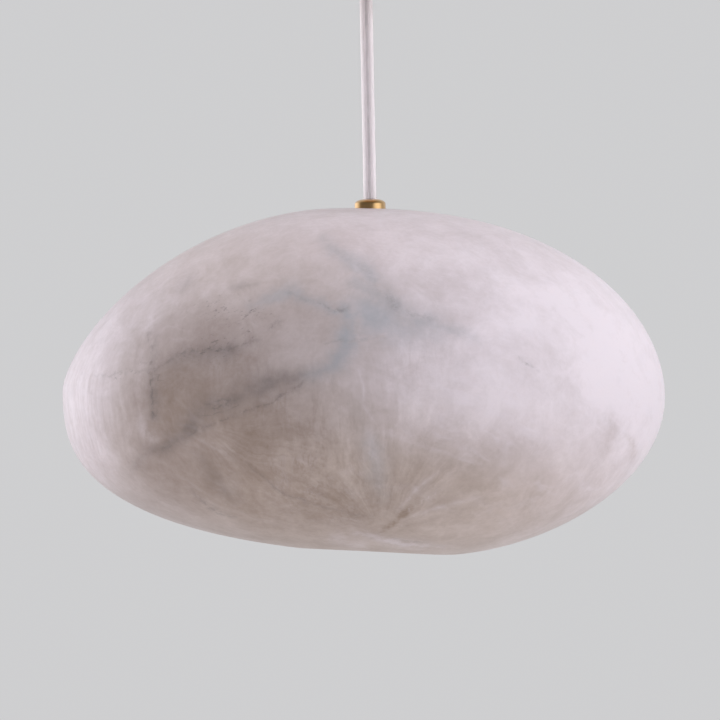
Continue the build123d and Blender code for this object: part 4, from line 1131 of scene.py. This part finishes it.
class PENDANT_OT_stage(bpy.types.Operator):
    """Sets the camera as in the photograph, a pale floor and background, and soft lamps"""

    bl_idname = "pendant.stage"
    bl_label = "Stage"

    def execute(self, context):
        scene = context.scene
        stage = scene.pendant_stage
        lens = bpy.data.cameras.new("photo_camera")
        lens.sensor_width = SENSOR_MM
        lens.lens = SENSOR_MM * stage.distance / (PHOTO_SIDE * METRES_PER_PIXEL)
        lens.clip_end = CLIP_END
        camera = link("photo_camera", lens)
        camera.location = camera_place()
        camera.rotation_euler = (math.pi / 2, stage.roll, 0.0)
        scene.camera = camera
        self.floor(stage)
        self.sky(scene, stage)
        for name, (place, side) in LAMPS.items():
            self.lamp(name + "_lamp", getattr(stage, name + "_power"), place, side)
        scene.view_settings.view_transform = "Standard"
        return {"FINISHED"}

    def floor(self, stage):
        """A round floor, a grid of rings in polar coordinates. To the camera, gloss and glass it is a
        little lighter, to meet the background."""
        radius = np.linspace(FLOOR_HUB, stage.floor_radius, FLOOR_RINGS)[:, None]
        mesh = grid_mesh("floor", rings(radius, circle(FLOOR_SPOKES), stage.floor_level))
        mesh.update()
        floor = link("floor", mesh)
        material, nodes, shader = finish_of("floor_paper", Roughness=0.9, Emission_Color=rgba(stage.ground))
        lift = nodes.rays("Camera", "Transmission", "Glossy") * FLOOR_LIFT
        paper = nodes.place().noise(3.0, 4.0, 0.6).step(0.3, 0.7, 0.0, 0.3)
        shade = paper.over(rgba(stage.paper), rgba(stage.paper, 0.96))
        nodes.fill(shader, {"Base Color": shade, "Emission Strength": lift})
        mesh.materials.append(material)

    def sky(self, scene, stage):
        """A pale world for the camera, glass and gloss, and an even light for the rest. For gloss it is
        dimmer on the camera's side, as a studio is, with soft bright sides: each falls off with the
        angle from its own direction."""
        world = bpy.data.worlds.new("studio")
        world.use_nodes = True
        world.node_tree.nodes.clear()
        nodes = Nodes(world.node_tree)
        facing = nodes.make("TexCoord", output="Generated")
        bright = facing.parts()[1].step(*GLOSS_WALLS)
        for side, strength in SOFT_BOXES:
            bright = facing.vector("DOT_PRODUCT", side, output="Value").step(*BOX_FALL) * strength + bright
        even = nodes.make("Background", {"Color": EVEN_LIGHT, "Strength": stage.sky})
        back = nodes.make("Background", {"Color": rgba(stage.ground), "Strength": 1.0})
        sheen = nodes.make("Background", {"Color": rgba(stage.ground), "Strength": bright})
        mix = nodes.make("MixShader", {0: nodes.rays("Glossy"), 1: even, 2: sheen})
        mix = nodes.make("MixShader", {0: nodes.rays("Camera", "Transmission"), 1: mix, 2: back})
        nodes.node("OutputWorld", {"Surface": mix})
        scene.world = world

    def lamp(self, name, watts, place, side):
        """A square soft lamp that faces the stone."""
        light = bpy.data.lights.new(name, "AREA")
        light.energy = watts
        light.size = side
        lamp = link(name, light)
        lamp.location = place
        x, y, z = np.array([0.0, 0.0, SEAT - LAMP_AIM]) - place
        lamp.rotation_euler = (math.atan2(math.hypot(x, y), -z), 0.0, math.atan2(y, x) - math.pi / 2)
        lamp.visible_camera = False
        lamp.visible_glossy = False


class PENDANT_OT_cord(bpy.types.Operator):
    """Hangs the clear cord with its two cores and its stranded steel wire"""

    bl_idname = "pendant.cord"
    bl_label = "Cord"

    def execute(self, context):
        c = context.scene.pendant_cord
        curve = bpy.data.curves.new("cord_jacket", "CURVE")
        curve.dimensions = "3D"
        curve.bevel_depth = c.diameter / 2
        curve.bevel_resolution = JACKET_ROUNDNESS
        curve.use_fill_caps = True
        spline = curve.splines.new("NURBS")
        levels = (CORD_HIGH, CORD_HIGH - CORD_HELD_HIGH, CORD_LOW + CORD_HELD_LOW, CORD_LOW)
        spline.points.add(len(levels) - 1)
        spline.points.foreach_set("co", [v for z in levels for v in (0.0, 0.0, z, 1.0)])
        spline.order_u = 3
        spline.use_endpoint_u = True
        jacket = link("cord_jacket", curve)
        curve.materials.append(clear_finish())
        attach(jacket, "cord")
        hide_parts("suspension_cord")
        cores = self.cores(c)
        wire = self.wire(c, context.scene.pendant_metal)
        return {"FINISHED"}

    def cores(self, c):
        """Two round insulated cores: circles carried down two upright lines."""
        level = np.linspace(CORE_LOW, CORE_HIGH, CORE_ROWS)[:, None]
        pair = [rings(c.core_d / 2, circle(CORE_SIDES), level, x, c.core_y) for x in (-c.core_x, c.core_x)]
        mesh = grid_mesh("cord_core_pair", *pair, caps=True)
        finish = drawn_finish("core_cover", c.core, 0.38, lines=0.1)
        piece = stand("cord_core_pair", mesh, "cord", finish)
        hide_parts("cord_cores")
        return piece

    def wire(self, c, metal):
        """Stranded wire: outer strands on a helix round a straight middle strand. A strand's middle
        goes round by one turn each pitch, and its own circle lies square to the wire. Three strands
        lie across the wire, so a strand's radius is a sixth of its width."""
        strand = c.wire_d / 6
        level = np.linspace(WIRE_LOW, WIRE_HIGH, STRAND_ROWS)[:, None]
        strands = []
        for k in range(c.strands + 1):
            out = 2 * strand if k else 0.0
            about = 2 * math.pi * (k / c.strands + level / c.wire_pitch)
            x, y = out * np.cos(about), c.wire_y + out * np.sin(about)
            strands.append(rings(strand, circle(STRAND_SIDES), level, x, y))
        mesh = grid_mesh("stranded_wire", *strands, caps=True)
        finish = plated_finish("wire_steel", metal.wire, 0.48, WIRE_GRAIN, metal=0.5)
        piece = stand("stranded_wire", mesh, "cord", finish, sharp=60.0)
        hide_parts("suspension_wire")
        return piece


class PENDANT_OT_stone(bpy.types.Operator):
    """Carves the hollow alabaster pebble and lays its veins"""

    bl_idname = "pendant.stone"
    bl_label = "Alabaster stone"

    def execute(self, context):
        form = StoneForm(context.scene.pendant_stone)
        grid = form.skin()[::-1]
        mesh = grid_mesh("alabaster_pebble", grid, close_rows=True)
        points = grid.reshape(-1, 3)
        near = soft_step(*NEAR_SIDE, points[:, 1])
        self.store(mesh, "near", near)
        for name, (patches, base) in PATCHES.items():
            self.store(mesh, name, patchwork(points, patches, base))
        for sort in VEINS:
            self.store(mesh, sort, vein_frames(points, form, near, sort))
        for name, fan in FANS.items():
            self.store(mesh, name, fan_frame(points, on_stone(form, [fan["foot"]])[0], near))
        stone = stand("alabaster_pebble", mesh, "shade", alabaster_finish(), sharp=50.0)
        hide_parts("alabaster_shade")
        return {"FINISHED"}

    def store(self, mesh, name, values):
        """Keeps a number or a vector for each point of a mesh."""
        kind, key = ("FLOAT", "value") if values.ndim == 1 else ("FLOAT_VECTOR", "vector")
        layer = mesh.attributes.new(name, kind, "POINT")
        layer.data.foreach_set(key, np.ascontiguousarray(values, np.float32).ravel())


class PENDANT_OT_brass(bpy.types.Operator):
    """Brushes the brass collars, the canopy and the lamp contacts"""

    bl_idname = "pendant.brass"
    bl_label = "Brass"

    def execute(self, context):
        metal = context.scene.pendant_metal
        finish = turned_finish("brass", metal.brass, 0.31, lacquer=0.8)
        dress("brass", finish)
        self.collar(metal, finish)
        dress("contact_brass", turned_finish("contact_brass", metal.dull_brass, 0.36))
        return {"FINISHED"}

    def collar(self, metal, finish):
        """The turned collar on the stone, a profile carried round the cord's axis. Its shoulder is a
        quarter ellipse from the cord out and down to the side."""
        (low_x, _, foot), (high_x, _, top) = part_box("top_collar")
        outer, bore = (high_x - low_x) / 2, metal.collar_bore / 2
        recess, thread = metal.gasket_d / 2, metal.collar_thread / 2
        way = np.linspace(0, math.pi / 2, SHOULDER_POINTS)
        shoulder = np.c_[bore + (outer - bore) * np.sin(way), top - metal.collar_drop * (1 - np.cos(way))]
        roof, lip = foot + metal.gasket_height, top - metal.collar_lip
        rest = ((outer, foot), (recess, foot), (recess, roof), (thread, roof), (thread, lip), (bore, lip))
        profile = np.vstack([shoulder, rest])
        points = rings(profile[:, :1], -circle(COLLAR_SIDES), profile[:, 1:])
        mesh = grid_mesh("stone_collar", points, close_rows=True)
        piece = stand("stone_collar", mesh, "shade", finish)
        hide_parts("top_collar")


class PENDANT_OT_steel(bpy.types.Operator):
    """Plates the bracket, nipples, nuts, screws, stops and lamp pins"""

    bl_idname = "pendant.steel"
    bl_label = "Steel fittings"

    def execute(self, context):
        metal = context.scene.pendant_metal
        dress("zinc_steel", plated_finish("zinc_steel", metal.zinc, 0.36, ZINC_GRAIN))
        dress("wire_steel", plated_finish("head_wire_steel", metal.wire, 0.30, WIRE_GRAIN))
        dress("pin_metal", plated_finish("pin_metal", metal.tin, 0.34))
        return {"FINISHED"}


class PENDANT_OT_fittings(bpy.types.Operator):
    """Finishes the plastic, rubber, enamel and ceramic fittings"""

    bl_idname = "pendant.fittings"
    bl_label = "Fittings"

    def execute(self, context):
        f = context.scene.pendant_fittings
        dress("rubber", moulded_finish("rubber_black", f.rubber, 0.72, 400.0))
        dress("white_nylon", moulded_finish("nylon_white", f.nylon, 0.5, 260.0))
        dress("white_enamel", moulded_finish("enamel_white", f.enamel, 0.28, 180.0, FINE_RELIEF))
        dress("ceramic", moulded_finish("steatite", f.ceramic, 0.40, 520.0))
        dress("core_cover", drawn_finish("lead_cover", context.scene.pendant_cord.core, 0.42))
        dress("clear_jacket", clear_finish())
        return {"FINISHED"}


class PENDANT_OT_lamps(bpy.types.Operator):
    """Finishes the three two-pin lamps"""

    bl_idname = "pendant.lamps"
    bl_label = "Lamps"

    def execute(self, context):
        f = context.scene.pendant_fittings
        dress("lamp_base", moulded_finish("lamp_base_white", f.base, 0.36, 320.0))
        frost = moulded_finish(
            "frosted_cover", f.frost, 0.5, 700.0, depth=0.00004, shade=0.92, Transmission_Weight=0.55
        )
        dress("frosted", frost)
        dress("light_board", board_finish())
        return {"FINISHED"}


class PENDANT_PT_panel(bpy.types.Panel):
    """Lists the pendant's steps"""

    bl_idname = "PENDANT_PT_panel"
    bl_label = "Alabaster pendant"
    bl_space_type = "VIEW_3D"
    bl_region_type = "UI"
    bl_category = "Pendant"

    def draw(self, context):
        for step in STEPS:
            self.layout.operator(step.bl_idname)


STEPS = (
    PENDANT_OT_stage,
    PENDANT_OT_cord,
    PENDANT_OT_stone,
    PENDANT_OT_brass,
    PENDANT_OT_steel,
    PENDANT_OT_fittings,
    PENDANT_OT_lamps,
)


def register():
    for name, kind in GROUPS:
        bpy.utils.register_class(kind)
        setattr(bpy.types.Scene, name, PointerProperty(type=kind))
    for kind in (*STEPS, PENDANT_PT_panel):
        bpy.utils.register_class(kind)


def unregister():
    for kind in (PENDANT_PT_panel, *reversed(STEPS)):
        bpy.utils.unregister_class(kind)
    for name, kind in reversed(GROUPS):
        delattr(bpy.types.Scene, name)
        bpy.utils.unregister_class(kind)


def main():
    register()
    bpy.ops.pendant.stage()
    bpy.ops.pendant.cord()
    bpy.ops.pendant.stone()
    bpy.ops.pendant.brass()
    bpy.ops.pendant.steel()
    bpy.ops.pendant.fittings()
    bpy.ops.pendant.lamps()


if __name__ == "__main__":
    main()
